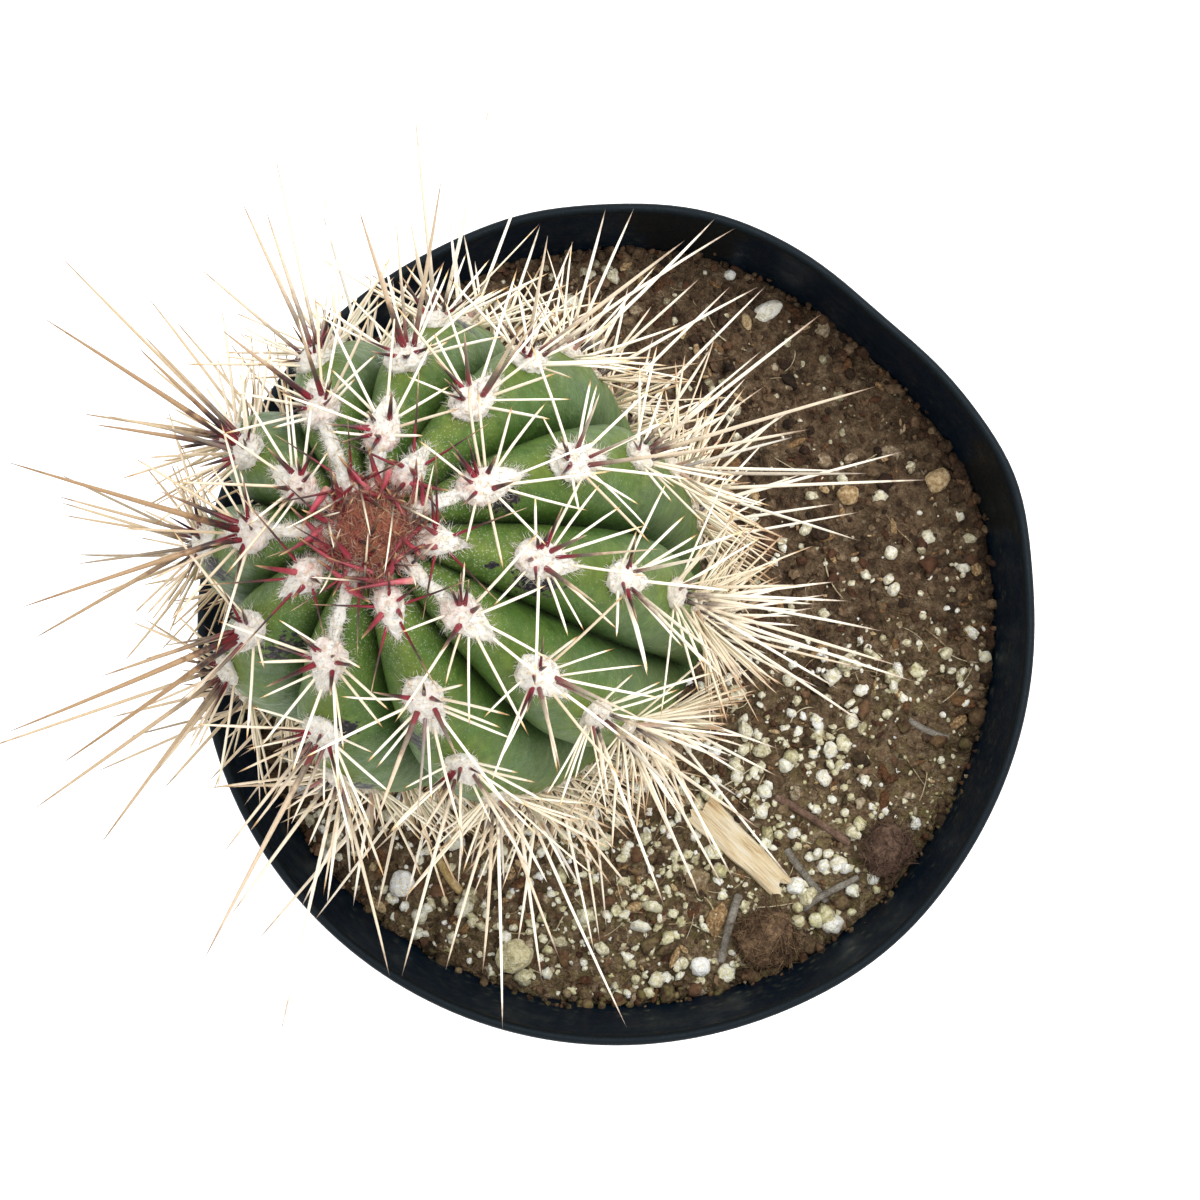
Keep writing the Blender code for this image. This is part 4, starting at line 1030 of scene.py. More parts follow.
def make_twig(name, piece, look, slot, knots=0.12):
    """A thin dry twig on the solid model's own curve, with ridged bark."""
    ends, radius, heights = TWIGS[name]
    ends = np.array(ends) * MM
    points = np.column_stack([ends, smooth_soil(ends[:, 0], ends[:, 1]) + np.array(heights) * MM])
    share = np.linspace(0, 1, 30)[:, None]
    path = points[0] * (1 - share) * (1 - 2 * share) + points[1] * 4 * share * (1 - share)
    path = path + points[2] * share * (2 * share - 1)
    wobble = np.column_stack([noise_at(path, 3.2 * MM, layer) for layer in (1, 2, 3)]) * 0.12 * MM
    path = path + wobble
    thick = radius * MM * (1 + knots * noise_at(path, 2.4 * MM, 4) + 0.5 * knots * noise_at(path, 0.9 * MM, 5))
    thick[[0, -1]] *= 0.8
    path = np.concatenate([path, path[-1:] + (path[-1:] - path[-2:-1]) * 0.05])
    thick = np.append(thick, 0.0)
    shapes = Shapes()
    add_tubes(shapes, path[None], thick[None], 12, np.linspace(0, 1, len(path)), shade=np.array([0.5]))
    return shapes.piece(piece, look, slot, name, smooth_within=60)


def make_loose_pieces():
    make_wood_chip()
    pumice = stone_look("pumice", "#8a7d5c", "#cfc39a", "#efe6c6")
    perlite = stone_look("perlite_stone", "#a59b82", "#f2ecd8", "#ffffff")
    pebble = stone_look("pebble", "#6e5338", "#a98a62", "#d8c096")
    make_stone("pumice_large", "pumice_lump", pumice, "pumice", 0.06, shade=0.6, green=0.2)
    make_stone("perlite_large", "perlite_lump", perlite, "perlite", 0.05, shade=0.8)
    make_stone("perlite_oval", "perlite_pebble", perlite, "perlite", 0.05, shade=0.6)
    make_stone("pebble_tan", "tan_pebble", pebble, "pebble", 0.05, shade=0.6)
    make_stone("pebble_edge", "rim_pebble", pebble, "pebble", 0.05, shade=0.75)
    fibre = wood_look("fibre_ball", "#38281c", "#7b6048", "#b3946f", size=0.6 * MM)
    bark = wood_look("bark_ball", "#2e211a", "#6b5142", "#987d69", size=0.6 * MM)
    make_stone("fibre_lump", "fibre_clump", fibre, "fibre_lump", 0.12)
    make_stone("bark_lump", "bark_clump", bark, "bark_lump", 0.12)
    make_strands("fibre_lump", "fibre_strands", fibre, "fibre_lump", 420, 61)
    make_strands("bark_lump", "bark_strands", bark, "bark_lump", 260, 62)
    red = wood_look("red_twig", "#3c281f", "#7d6150", "#a9907e", size=0.4 * MM)
    grey = wood_look("grey_twig", "#4a443c", "#8a8276", "#b8b2a6", size=0.4 * MM)
    yellow = wood_look("straw_stem", "#8b6c3d", "#cfae73", "#efdcae", size=0.4 * MM)
    make_twig("twig_red", "red_twig", red, "twig_red")
    make_twig("twig_grey_low", "grey_twig_low", grey, "twig_grey")
    make_twig("twig_grey_top", "grey_twig_top", grey, "twig_grey")
    make_twig("stem_bent", "bent_stem", grey, "twig_grey")
    make_twig("twig_short", "short_twig", grey, "twig_grey")
    make_twig("straw", "straw_stem", yellow, "straw")


# ---------------------------------------------------------------- stem

STEM_UP = unit(STEM_LEAN)
STEM_SIDE = unit(np.array((1.0, 0.0, 0.0)) - STEM_UP * STEM_UP[0])
STEM_TURN = np.column_stack([STEM_SIDE, np.cross(STEM_UP, STEM_SIDE), STEM_UP])


def crest_profile(step):
    """Radius and height of a rib's crest: 0 to 1 runs up the side, and 1 to 2 over the crown to its centre."""
    step = np.asarray(step, float)
    up = np.clip(step, 0, 1)
    angle = np.radians(90 * np.clip(step - 1, 0, 1))
    side = FOOT_RADIUS + (WIDEST_RADIUS - FOOT_RADIUS) * (1 - (1 - up) ** SHOULDER)
    over = WIDEST_RADIUS * np.maximum(np.cos(angle), 0) ** (2 / CROWN_POWER)
    height = WIDEST_HEIGHT + (STEM_HEIGHT - WIDEST_HEIGHT) * np.sin(angle) ** (2 / CROWN_POWER)
    height = height - CROWN_DIMPLE * np.maximum(0, 1 - over / (DIMPLE_SHARE * WIDEST_RADIUS))
    return np.where(step > 1, over, side), np.where(step > 1, height, WIDEST_HEIGHT * up)


def crest_normal(step):
    """The outward direction of the crest's profile, as radius and height."""
    low = crest_profile(np.maximum(step - 5 * CREST_STRIDE, 0))
    high = crest_profile(np.minimum(step + 5 * CREST_STRIDE, 2))
    run, rise = high[0] - low[0], high[1] - low[1]
    length = np.hypot(run, rise)
    return rise / length, -run / length


def rib_depth(radius, height):
    fade = np.clip((height - RIBS_START) / (RIBS_FULL - RIBS_START), 0, 1)
    return RIB_DEPTH * np.sqrt(fade) * np.minimum(1, radius / (FULL_DEPTH_SHARE * WIDEST_RADIUS))


def rib_bearing(turns):
    """The bearing of a place counted in ribs: whole numbers are crests, and halves are grooves."""
    rib = np.floor(turns).astype(int)
    here = RIB_BEARINGS[rib % RIBS]
    there = RIB_BEARINGS[(rib + 1) % RIBS]
    return np.radians(here + angle_between(there, here) * (turns - rib))


def grown(walked, between):
    return float(np.clip((walked - between[0]) / (between[1] - between[0]), 0, 1))


def areole_places(first):
    """Places along a crest that are an areole's distance apart, each with its distance from the crown."""
    found, walked, target = [], 0.0, first
    step, last = 2.0, crest_profile(2.0)
    while step > 0.0:
        step -= CREST_STRIDE
        here = crest_profile(max(step, 0.0))
        walked += math.dist(here, last)
        last = here
        if here[1] < LOWEST_AREOLE:
            break
        if walked >= target:
            found.append((step, walked))
            target = walked + AREOLE_STEP_AT_CROWN
            target += grown(walked, CENTRAL_GROWS) * (AREOLE_STEP - AREOLE_STEP_AT_CROWN)
    return found


def areole_frame(rib, step):
    """An areole's place and its own directions as columns: across the crest, up it and outwards."""
    radius, height = crest_profile(step)
    out_radius, out_height = crest_normal(step)
    bearing = math.radians(RIB_BEARINGS[rib])
    flat = np.array((math.cos(bearing), math.sin(bearing), 0.0))
    up = np.array((0.0, 0.0, 1.0))
    outward = flat * out_radius + up * out_height
    along = up * out_radius - flat * out_height
    turn = np.column_stack([np.cross(along, outward), along, outward])
    return STEM_TURN @ (flat * radius + up * height) + STEM_FOOT, STEM_TURN @ turn


AREOLES = [
    (rib, step, walked, *areole_frame(rib, step))
    for rib in range(RIBS)
    for step, walked in areole_places(FIRST_AREOLES[rib] * MM)
]

COLUMNS_PER_RIB = 26
STEM_ROWS = 205
BULGE = 0.55 * MM
# Dark corky scars on the skin: rib, distance from the crown, side step and reach in millimetres
SCARS = (
    (0, 26, -3.3, 3.4), (0, 18, -2.2, 1.0), (5, 37, 4.0, 3.4), (4, 26, 5.6, 3.8), (4, 44, -3.5, 2.4),
    (2, 36, -5.5, 3.6), (3, 35, 3.2, 2.8), (3, 58, 3.5, 3.0), (10, 20, -2.8, 2.4), (8, 52, -3.6, 2.6),
    (6, 60, 3.5, 3.0), (9, 70, 3.0, 3.2), (7, 66, -3.2, 2.8), (1, 80, -3.5, 3.2),
)


def make_stem():
    steps = np.concatenate([2 - np.linspace(0, 1, 95)[1:] ** 0.9, np.linspace(1, 0, STEM_ROWS - 94)[1:]])
    dense = np.arange(2.0, -CREST_STRIDE, -CREST_STRIDE)
    radius, height = crest_profile(dense)
    walk = np.concatenate([[0], np.cumsum(np.hypot(np.diff(radius), np.diff(height)))])
    walked = np.interp(-steps, -dense, walk)
    u = np.linspace(-1, 1, COLUMNS_PER_RIB + 1)[:-1]
    across = np.sin(u * math.pi / 2)
    turns = (np.arange(RIBS)[:, None] + across / 2).ravel()
    across = np.tile(across, RIBS)
    rib = np.repeat(np.arange(RIBS), COLUMNS_PER_RIB)
    radius, height = (values[:, None] for values in crest_profile(steps))
    out_radius, out_height = (values[:, None] for values in crest_normal(steps))
    bulge = np.zeros((len(steps), len(turns)))
    for r in range(RIBS):
        places = np.array([place for _, place in areole_places(FIRST_AREOLES[r] * MM)])
        phase = np.interp(walked, places, np.arange(len(places)), left=0, right=len(places) - 1)
        swell = BULGE * np.cos(math.tau * (phase - 0.12)) * np.clip(walked / (18 * MM), 0, 1)
        bulge[:, rib == r] = swell[:, None]
    bulge *= 1 - across**2
    depth = rib_depth(radius, height) * (1 - np.sqrt(np.maximum(0, 1 - across**2))) - bulge
    local_radius = radius - depth * out_radius
    local_height = height - depth * out_height
    bearing = rib_bearing(turns)
    body = np.stack([local_radius * np.cos(bearing), local_radius * np.sin(bearing), local_height], axis=-1)
    rows, columns = body.shape[:2]
    marks_groove = np.broadcast_to(np.abs(across), (rows, columns)).ravel()
    marks_walked = np.broadcast_to((walked / MM)[:, None], (rows, columns)).ravel()
    stub = np.stack([STUB_RADIUS * np.cos(bearing), STUB_RADIUS * np.sin(bearing), 0 * bearing - STUB_DEPTH], axis=-1)
    ends = np.array([(0, 0, crest_profile(2.0)[1]), (0, 0, -STUB_DEPTH)])
    local = np.concatenate([body.reshape(-1, 3), stub, ends])
    points = local @ STEM_TURN.T + STEM_FOOT
    near_ring = np.arange(columns)
    far_ring = (near_ring + 1) % columns
    level = columns * np.arange(rows)[:, None]
    quads = np.stack(
        [level + near_ring, level + near_ring + columns, level + far_ring + columns, level + far_ring], axis=-1
    ).reshape(-1, 4)
    top, bottom = len(local) - 2, len(local) - 1
    caps = np.concatenate([
        np.stack([near_ring, far_ring, np.full(columns, top)], axis=-1),
        np.stack([level[-1] + columns + far_ring, level[-1] + columns + near_ring, np.full(columns, bottom)], axis=-1),
    ])
    extra = columns + 2
    groove = np.concatenate([marks_groove, np.zeros(extra)])
    walk_marks = np.concatenate([marks_walked, np.full(extra, marks_walked.max())])
    walk_marks[top] = 0
    near = np.zeros(len(points))
    for _, _, _, place, _ in AREOLES:
        near = np.maximum(near, np.exp(-((np.linalg.norm(points - place, axis=1) / (6.5 * MM)) ** 2)))
    scar = np.zeros(len(points))
    for r, way, side, reach in SCARS:
        step = np.interp(way * MM, walk, dense)
        place, turn = areole_frame(r, step)
        middle = place + turn @ (side * MM, 0, -0.25 * abs(side) * MM)
        away = (points - middle) @ turn / (reach * MM * np.array((0.6, 1.0, 1.2)))
        scar = np.maximum(scar, 1 - 0.5 * np.linalg.norm(away, axis=1))
    shapes = Shapes()
    # The ribs run clockwise, so the faces turn the other way
    shapes.add(points, [quads, caps], groove=groove, walked=walk_marks, near=near, scar=np.maximum(scar, 0))
    return shapes.piece("ribbed_stem", stem_look(), "cactus", "cactus")


# ---------------------------------------------------------------- wool

def wool_fibres(draw, starts, normals, length, radius, spread=0.5):
    """Fine curved hairs that grow from the given places, as paths and radii."""
    heading = unit(normals + draw.normal(0, spread, (len(starts), 3)))
    sag = draw.normal(0, 0.22, (len(starts), 3))
    span = length[:, None]
    paths = np.stack([
        starts - heading * HAIR_ROOT, starts + heading * span * 0.55, starts + (heading + sag) * span
    ], axis=1)
    return paths, radius[:, None] * np.array((1.0, 0.75, 0.0))


HAIR_ROOT = 0.3 * MM
HAIR_RADIUS = (0.03 * MM, 0.052 * MM)
YOUNG_WOOL = 34 * MM
COARSE_WOOL = 58 * MM


def make_wool():
    draw = np.random.default_rng(31)
    pads = Shapes()
    fine_ball, coarse_ball = ball(4), ball(3)
    hair_sets = {True: [], False: []}
    for rib, step, walked, place, turn in AREOLES:
        round_points, faces = fine_ball if walked < COARSE_WOOL else coarse_ball
        y = round_points[:, 1]
        # Widest near the end towards the crown, and drawn out to a low tail at the other end
        width = 0.45 + 0.6 * np.clip((y + 1) / 1.35, 0, 1) ** 0.8
        tail = np.clip(-y, 0, 1)
        teardrop = np.stack([width, 1 + 0.32 * tail, 1 - 0.35 * tail], axis=-1)
        old = grown(walked, (38 * MM, 80 * MM))
        pink = (1 - grown(walked, (9 * MM, 32 * MM))) * np.clip(y + 0.25, 0, 1)
        size = PAD_SIZE * (0.66 + 0.36 * grown(walked, (6 * MM, 20 * MM)) - 0.3 * old) * draw.uniform(0.92, 1.08, 3)
        layer = draw.uniform(0, 50)
        lumps = 0.11 * noise_at(round_points, 0.5, layer) + 0.09 * noise_at(round_points, 0.2, layer)
        lumps += 0.05 * noise_at(round_points, 0.09, layer)
        shaped = round_points * (1 + lumps)[:, None] * size * teardrop
        points = shaped @ turn.T + place
        pads.add(points, [faces], old=old, pink=pink)
        young = walked < YOUNG_WOOL
        chosen = draw.integers(0, len(points), 460 if young else 300 if walked < 60 * MM else 130)
        chosen = chosen[round_points[chosen, 2] > -0.3]
        out = unit(shaped[chosen] / size**2) @ turn.T
        length = draw.uniform(0.5, 1.75, len(chosen)) * MM * (1 - 0.2 * old)
        paths, radii = wool_fibres(draw, points[chosen], out, length, draw.uniform(*HAIR_RADIUS, len(chosen)))
        hair_sets[young].append((paths, radii, np.full(len(chosen), old), pink[chosen]))
    # Narrow strips of wool along the crests, from the crown to each rib's youngest grown areole
    dense = np.arange(2.0, 1.2, -CREST_STRIDE)
    radius, height = crest_profile(dense)
    walk = np.concatenate([[0], np.cumsum(np.hypot(np.diff(radius), np.diff(height)))])
    for rib in range(RIBS):
        ways = [walked for r, _, walked, _, _ in AREOLES if r == rib]
        end = ways[0] if ways[0] > 9 * MM else ways[1]
        shares = np.linspace(0, 1, 30)
        frames = [areole_frame(rib, np.interp(way, walk, dense)) for way in 4.5 * MM + shares * (end - 4.5 * MM)]
        centre = np.array([place for place, _ in frames])
        turns = np.array([turn for _, turn in frames])
        sides = 14
        angles = math.tau * np.arange(sides) / sides
        width = 0.95 * MM * (1 + 0.45 * (2 * shares - 1) ** 2 + 0.25 * noise_at(centre, 3 * MM, rib))
        ring = np.stack([np.cos(angles), 0 * angles, np.sin(angles) * 0.6], axis=-1)
        out = np.einsum("nij,sj->nsi", turns, ring)
        flat = (centre[:, None] + out * width[:, None, None]).reshape(-1, 3)
        out = unit(out.reshape(-1, 3))
        flat = flat + out * (noise_at(flat, 0.8 * MM, 3) * 0.35 * MM)[:, None]
        near_ring = np.arange(sides)
        level = sides * np.arange(len(centre) - 1)[:, None]
        far_ring = level + (near_ring + 1) % sides
        quads = np.stack([level + near_ring, level + near_ring + sides, far_ring + sides, far_ring], axis=-1)
        ends = [near_ring[None, :], near_ring[None, ::-1] + sides * (len(centre) - 1)]
        pink = np.repeat(np.clip(1 - 2.2 * shares, 0, 1), sides)
        pads.add(flat, [quads.reshape(-1, 4), *ends], old=0.0, pink=pink)
        chosen = draw.integers(0, len(flat), int(34 * (end / MM)))
        chosen = chosen[(out[chosen] * turns[chosen // sides][:, :, 2]).sum(axis=1) > -0.3]
        length = draw.uniform(0.5, 1.25, len(chosen)) * MM
        paths, radii = wool_fibres(draw, flat[chosen], out[chosen], length, draw.uniform(*HAIR_RADIUS, len(chosen)))
        hair_sets[True].append((paths, radii, np.zeros(len(chosen)), pink[chosen]))
    look = wool_look()
    pads.piece("areole_wool", look, "cactus", "cactus")
    for young, name in ((True, "young_wool_hairs"), (False, "old_wool_hairs")):
        hairs = Shapes()
        paths, radii, old, pink = (np.concatenate(parts) for parts in zip(*hair_sets[young]))
        add_tubes(hairs, paths, radii, 3, np.array((0.0, 0.5, 1.0)), old=old, pink=pink)
        hairs.piece(name, look, "cactus", "cactus")


# ---------------------------------------------------------------- spines

SPINE_SHARES = np.array((0.0, 0.2, 0.48, 0.76, 0.91, 1.0))
SPINE_TAPER = np.array((1.0, 0.98, 0.94, 0.86, 0.58, 0.0))
YOUNG_TAPER = np.array((1.2, 0.98, 0.7, 0.44, 0.24, 0.0))
MATURE_TAPER = np.array((1.15, 0.98, 0.88, 0.7, 0.42, 0.0))
BOX_MARGIN = 2.5 * MM
SPINE_ROOT = 1.6 * MM
SHORTEST_SPINE = 2.0 * MM
CROWN_SPINES = 42
# Spines that reach out on the side of the lean are browner: where that starts, and how far out it is complete
DIM_FROM = 44 * MM
DIM_OVER = 26 * MM
# The most that chance makes another spine browner
DIM_MOST = 0.8
# The length over which a young central spine runs through its colours
YOUNG_COLOURS = 12 * MM


class Spines:
    """Spines gathered by their start, direction, length and kind."""

    def __init__(self, seed):
        self.draw = np.random.default_rng(seed)
        self.rows = []

    def add(self, start, direction, length, radius, central=0.0, age=0.0, straw=0.0, grey=0.0, fresh=0.0, bend=0.05):
        direction = unit(np.asarray(direction))
        length = clear_length(start, direction, length)
        if length < SHORTEST_SPINE:
            return
        side = unit(np.cross(direction, self.draw.normal(size=3))) * self.draw.normal(0, bend)
        self.rows.append((*start, *direction, *side, length, radius, central, age, straw, grey, fresh))

    def piece(self, name, look, sides=6):
        data = np.array(self.rows)
        start, direction, side = data[:, 0:3], data[:, 3:6], data[:, 6:9]
        length, radius, central, age, straw, grey, fresh = data[:, 9:].T
        way = SPINE_SHARES[None, :, None] * (length + SPINE_ROOT)[:, None, None] - SPINE_ROOT
        arch = SPINE_SHARES[None, :, None] ** 2 * length[:, None, None]
        paths = start[:, None] + direction[:, None] * way + side[:, None] * arch
        grown_taper = YOUNG_TAPER + age[:, None] * (MATURE_TAPER - YOUNG_TAPER)
        taper = np.where(central[:, None] > 0.5, grown_taper, SPINE_TAPER)
        shapes = Shapes()
        lean_side = np.clip((-paths[:, -1, 0] - DIM_FROM) / DIM_OVER, 0, 1)
        dim = np.maximum(lean_side, DIM_MOST * self.draw.uniform(0, 1, len(data)) ** 3)
        add_tubes(shapes, paths, radius[:, None] * taper, sides, SPINE_SHARES, central=central, age=age,
                  straw=straw, grey=grey, fresh=fresh, dim=dim, stretch=np.maximum(1, length / YOUNG_COLOURS))
        return shapes.piece(name, look, "cactus", "cactus")


BOX_LOW = np.array(cad_box[0]) - BOX_MARGIN
BOX_HIGH = np.array(cad_box[1]) + BOX_MARGIN


def clear_length(start, direction, length):
    """The part of a spine's length that stays over the soil, off the pot's wall and inside the solid's box."""
    shares = np.arange(1, 21) / 20
    points = start + direction * (length * shares)[:, None]
    radius = np.hypot(points[:, 0], points[:, 1])
    low = points[:, 2] < SOIL_TOP + 2.2 * MM
    in_pot = points[:, 2] < POT_HEIGHT + 1.5 * MM
    over = radius > wall_inner_radius(np.minimum(points[:, 2], POT_HEIGHT)) - 2.5 * MM
    outside = ((points < BOX_LOW) | (points > BOX_HIGH)).any(axis=1)
    bad = low | (in_pot & over) | outside
    return length * (np.argmax(bad) / 20 if bad.any() else 1.0)


def around(bearing, lift):
    """A direction in an areole's frame: degrees from downwards, and degrees above the skin."""
    turn, rise = math.radians(bearing), math.radians(lift)
    return np.array((math.sin(turn) * math.cos(rise), -math.cos(turn) * math.cos(rise), math.sin(rise)))


FAN = (-124, -78, -54, 0, 54, 78, 124)
# The longest spines that stand out in the picture: rib, areole counted from the crown, and tip in millimetres
LONG_SPINES = (
    (5, 1, -81.1, 18.9, 310.3), (5, 1, -81.6, -0.1, 300.0), (5, 2, -87.9, -4.5, 268.0), (6, 1, -67.5, 37.7, 289.0),
    (6, 1, -79.4, 41.4, 296.4), (6, 2, -82.0, 30.6, 262.0), (6, 1, -75.1, 27.6, 283.0), (4, 1, -81.9, -18.7, 303.5),
    (4, 2, -85.5, -30.2, 276.3), (4, 2, -78.8, -36.3, 262.0), (4, 1, -80.7, -23.9, 278.0), (3, 3, -49.4, -64.9, 267.4),
    (3, 2, -56.8, -50.0, 293.3), (3, 2, -54.9, -43.2, 276.0), (7, 2, -54.1, 60.4, 281.0), (7, 2, -51.6, 60.9, 272.0),
    (7, 1, -53.6, 38.6, 298.0), (8, 1, -34.4, 55.2, 300.4), (8, 2, -27.6, 72.4, 285.0), (0, 3, 41.9, -2.3, 272.6),
    (0, 3, 35.7, -12.1, 266.0), (0, 3, 37.6, 1.8, 262.0), (10, 2, 40.0, 33.0, 281.0), (10, 2, 32.1, 44.3, 276.0),
    (10, 3, 36.9, 21.9, 262.0), (9, 4, 14.9, 53.8, 248.0), (9, 3, 4.0, 63.2, 260.3), (9, 2, 11.9, 54.4, 280.0),
    (2, 4, 2.2, -67.7, 239.9), (2, 3, -15.5, -64.3, 262.7), (2, 3, -7.1, -53.7, 262.0), (1, 2, 22.5, -32.0, 286.4),
    (1, 3, 14.4, -44.4, 262.0), (2, 3, -26.0, -55.8, 258.0), (3, 3, -32.6, -56.0, 262.0), (10, 4, 40.3, 11.7, 250.0),
)


def make_spines():
    draw = random.Random(SPINE_SEED)
    pale, dark = Spines(41), Spines(42)
    more = np.random.default_rng(43)
    for rib, step, walked, place, turn in AREOLES:
        spreading = YOUNGEST_SPREADING + (1 - YOUNGEST_SPREADING) * grown(walked, SPREADING_GROWS)
        central = YOUNGEST_CENTRAL + (1 - YOUNGEST_CENTRAL) * grown(walked, CENTRAL_GROWS)
        age = grown(walked, (22 * MM, 50 * MM))
        straw = grown(walked, (48 * MM, 85 * MM))
        very_young = walked < 14 * MM
        # The solid model's own spines
        for bearing in SPREADING_SPINES:
            angle = bearing + draw.uniform(*SPREADING_TURN)
            lift = draw.uniform(*SPREADING_LIFT)
            length = spreading * draw.uniform(*SPREADING_LENGTH)
            flat = around(angle, 0)
            pale.add(place + turn @ (flat * SPREADING_RING), turn @ around(angle, lift), length, 0.23 * MM,
                     central=1.0 if very_young else 0.0, straw=straw)
        for side, longest in CENTRAL_LONGEST.items():
            across = side * draw.uniform(*CENTRAL_ACROSS)
            along = draw.uniform(*CENTRAL_ALONG)
            length = central * draw.uniform(*CENTRAL_SHARE) * longest * (1 - 0.12 * age)
            start = place + turn @ np.array((side * CENTRAL_RING, 0.0, 0.0))
            thick = (0.56 - 0.25 * grown(walked, (16 * MM, 40 * MM))) * MM
            dark.add(start, turn @ np.array((across, along, 1.0)), length, thick, central=1.0, age=age,
                     grey=0.8 * (more.uniform() < 0.12 * age), fresh=0.7 * very_young, bend=0.03)
        # More of the fan, and the short young spines on the side of the crown
        if not very_young:
            for bearing in FAN:
                if more.uniform() < 0.12:
                    continue
                angle = bearing + more.uniform(-9, 9)
                side_share = 1 - 0.4 * abs(bearing) / 124
                length = spreading * more.uniform(12, 19) * MM * side_share
                flat = around(angle, 0) * (1.6 * MM, 3.2 * MM, 1)
                pale.add(place + turn @ flat, turn @ around(angle, more.uniform(12, 40)), length,
                         more.uniform(0.18, 0.25) * MM, straw=straw * more.uniform(0.4, 1))
        for _ in range(2 if very_young or walked > 48 * MM else 5):
            angle = 180 + more.uniform(-80, 80)
            start = place + turn @ (around(angle, 0) * (1.6 * MM, 2.4 * MM, 0) + (0, 0, 1.0 * MM))
            length = more.uniform(4.0, 8.5) * MM * (1 + 0.4 * straw)
            dark.add(start, turn @ around(angle, more.uniform(18, 60)), length, more.uniform(0.28, 0.43) * MM,
                     central=1.0 - 0.7 * straw, age=0.0, straw=straw)
        if walked > 24 * MM:
            angle = more.uniform(-70, 70)
            dark.add(place + turn @ (around(angle, 0) * 0.9 * MM), turn @ around(angle, more.uniform(45, 80)),
                     more.uniform(10, 22) * MM, 0.3 * MM, central=1.0, age=age, grey=0.8 * (more.uniform() < 0.15))
        # The tangle of older spines round the body
        for _ in range(int(9 * grown(walked, (44 * MM, 76 * MM)))):
            angle = more.uniform(-150, 150)
            pale.add(place + turn @ (around(angle, 0) * 1.6 * MM), turn @ around(angle, more.uniform(8, 62)),
                     more.uniform(11, 23) * MM, more.uniform(0.14, 0.21) * MM, straw=straw * more.uniform(0.3, 1))
    for rib, place_on_rib, *tip in LONG_SPINES:
        _, _, walked, place, turn = [areole for areole in AREOLES if areole[0] == rib][place_on_rib]
        way = np.array(tip) * MM - place
        age = grown(walked, (30 * MM, 60 * MM))
        dark.add(place, way, np.linalg.norm(way), (0.52 - 0.24 * age) * MM, central=1.0, age=age, bend=0.02)
    look = spine_look()
    # The crown: thick young spines that lean over the dry tuft, and thin straw-coloured ones across it
    top = STEM_TURN @ np.array((0, 0, crest_profile(2.0)[1])) + STEM_FOOT
    for i in range(CROWN_SPINES):
        bearing = math.tau * (i * 0.381966)
        thin = i % 3 == 0
        away = (more.uniform(5.0, 8.5) if thin else more.uniform(5.2, 9.0)) * MM
        flat = np.array((math.cos(bearing), math.sin(bearing), 0.0))
        swirl = np.array((-flat[1], flat[0], 0.0))
        inward = more.uniform(-1.2, 0.4) if thin else more.uniform(-0.9, 0.8)
        lean = flat * inward + swirl * more.uniform(-1.1, 1.1) + (0, 0, more.uniform(0.3, 0.7))
        length = more.uniform(9, 14) if thin else more.uniform(5.0, 8.5)
        thick = more.uniform(0.17, 0.23) if thin else more.uniform(0.42, 0.6)
        dark.add(STEM_TURN @ (flat * away + (0, 0, 0.8 * MM)) + top, STEM_TURN @ lean, length * MM, thick * MM,
                 central=1.0, age=float(thin), fresh=0.0 if thin else more.uniform(0.5, 1), bend=0.08)
    pale.piece("spreading_spines", look)
    dark.piece("central_spines", look)


def make_crown():
    """The dry orange-brown down in the crown's centre: a lumpy dome with loose hairs."""
    draw = np.random.default_rng(51)
    top = STEM_TURN @ np.array((0, 0, crest_profile(2.0)[1])) + STEM_FOOT
    shapes = Shapes()
    round_points, faces = ball(5)
    lumps = 0.14 * noise_at(round_points, 0.4, 1) + 0.1 * noise_at(round_points, 0.14, 2)
    dome = round_points * (1 + lumps)[:, None] * (6.2 * MM, 5.8 * MM, 2.4 * MM)
    # Painted shade and light: the down is darker in the hollows between the dome's lumps and lighter on their tops.
    shapes.add(dome @ STEM_TURN.T + top, [faces], shade=np.clip(0.3 + 0.8 * lumps, 0, 1), along=0.0)
    count = 1400
    bearing = draw.uniform(0, math.tau, count)
    away = np.sqrt(draw.uniform(0, 1, count)) * 6.4 * MM
    base = np.stack([away * np.cos(bearing), away * np.sin(bearing), 1.6 * MM * (1 - (away / (8 * MM)) ** 2)], axis=-1)
    heading = unit(draw.normal(0, 0.8, (count, 3)) * (1, 1, 0.4) + (0, 0, 0.55))
    length = draw.uniform(1.5, 4.6, count) * MM
    middle = base + heading * length[:, None] * 0.5
    tip = base + heading * length[:, None] + draw.normal(0, 0.5 * MM, (count, 3))
    paths = np.stack([base, middle, tip], axis=1) @ STEM_TURN.T + top
    radii = draw.uniform(0.05, 0.15, count)[:, None] * MM * np.array((1.0, 0.75, 0.0))
    add_tubes(shapes, paths, radii, 3, np.array((0.0, 0.5, 1.0)), shade=draw.beta(2, 2.2, count))
    shapes.piece("crown_down", tuft_look(), "cactus", "cactus")


# ---------------------------------------------------------------- stage

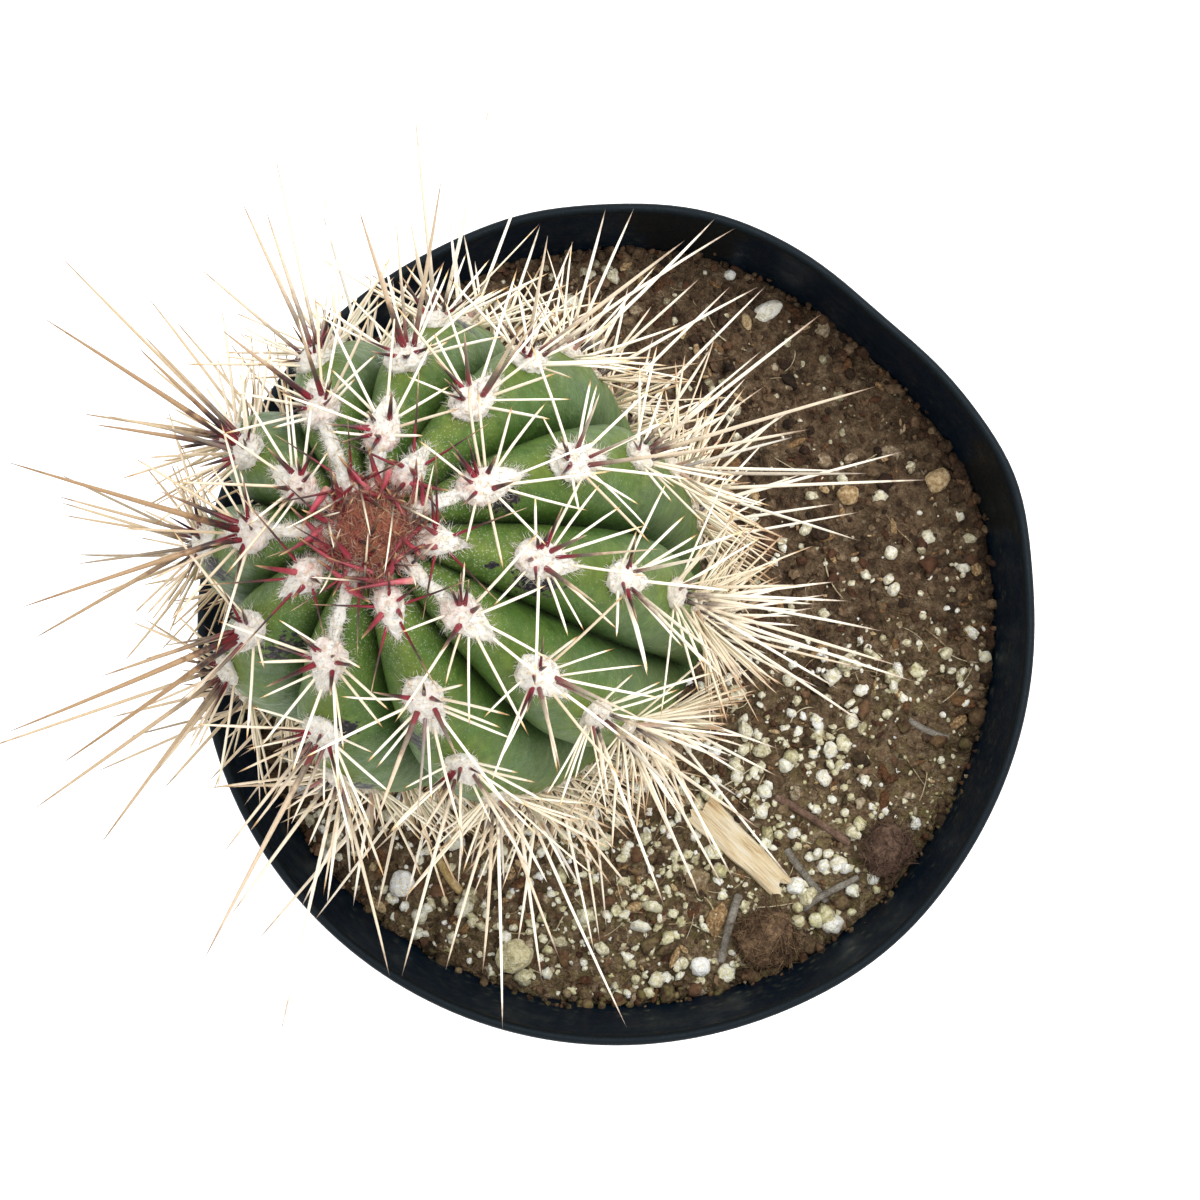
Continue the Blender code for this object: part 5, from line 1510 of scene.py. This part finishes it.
def make_stage():
    shape = Shapes()
    half = 3.0
    cells = 12
    line = np.linspace(-half, half, cells + 1)
    x, y = np.meshgrid(line, line, indexing="ij")
    index = np.arange((cells + 1) ** 2).reshape(cells + 1, cells + 1)
    quads = np.stack([index[:-1, :-1], index[1:, :-1], index[1:, 1:], index[:-1, 1:]], axis=-1).reshape(-1, 4)
    shape.add(np.stack([x.ravel(), y.ravel(), np.zeros(x.size)], axis=-1), [quads])
    look = Look("floor_paper")
    colour = look.mix(look.noise(0.4, 2.0), (0.93, 0.93, 0.93, 1), (0.96, 0.96, 0.96, 1))
    look.shader.inputs["Emission Color"].default_value = (1, 1, 1, 1)
    look.shader.inputs["Emission Strength"].default_value = 0.35
    paper = look.finish(colour, look.span(look.noise(0.01), 0, 1, 0.85, 0.95))
    mesh = shape.mesh("floor")
    mesh.materials.append(paper)
    floor = bpy.data.objects.new("floor", mesh)
    bpy.context.scene.collection.objects.link(floor)


def make_light():
    scene = bpy.context.scene
    world = bpy.data.worlds.new("bright_sky")
    world.use_nodes = True
    sky = world.node_tree.nodes["Background"]
    sky.inputs["Color"].default_value = (1.0, 1.0, 1.0, 1.0)
    sky.inputs["Strength"].default_value = SKY
    scene.world = world
    lamp = bpy.data.lights.new("soft_lamp", "AREA")
    lamp.shape = "DISK"
    lamp.size = 1.1
    lamp.energy = LAMP_WATTS
    place = bpy.data.objects.new("soft_lamp", lamp)
    place.location = (0.45, 0.35, 1.35)
    place.rotation_euler = (Vector((0, 0, 0.25)) - place.location).to_track_quat("-Z", "Y").to_euler()
    scene.collection.objects.link(place)
    scene.view_settings.view_transform = "Standard"
    scene.view_settings.look = "None"
    scene.view_settings.exposure = 0.0
    scene.view_settings.gamma = 1.0


def make_camera():
    camera = bpy.data.cameras.new("camera")
    camera.lens = CAMERA_LENS
    camera.sensor_width = CAMERA_SENSOR
    camera.clip_start = 0.01
    camera.clip_end = 20.0
    back = (CAMERA_PLACE - CAMERA_AIM).normalized()
    right = (Vector((1, 0, 0)) - back * back.x).normalized()
    held = bpy.data.objects.new("camera", camera)
    held.matrix_world = Matrix.Translation(CAMERA_PLACE) @ Matrix((right, back.cross(right), back)).transposed().to_4x4()
    bpy.context.scene.collection.objects.link(held)
    bpy.context.scene.camera = held


make_camera()
make_light()
make_stage()
make_pot()
make_soil()
make_crumbs()
make_pale_grains()
make_bark_flecks()
make_soil_fibres()
make_loose_pieces()
make_stem()
make_wool()
make_spines()
make_crown()
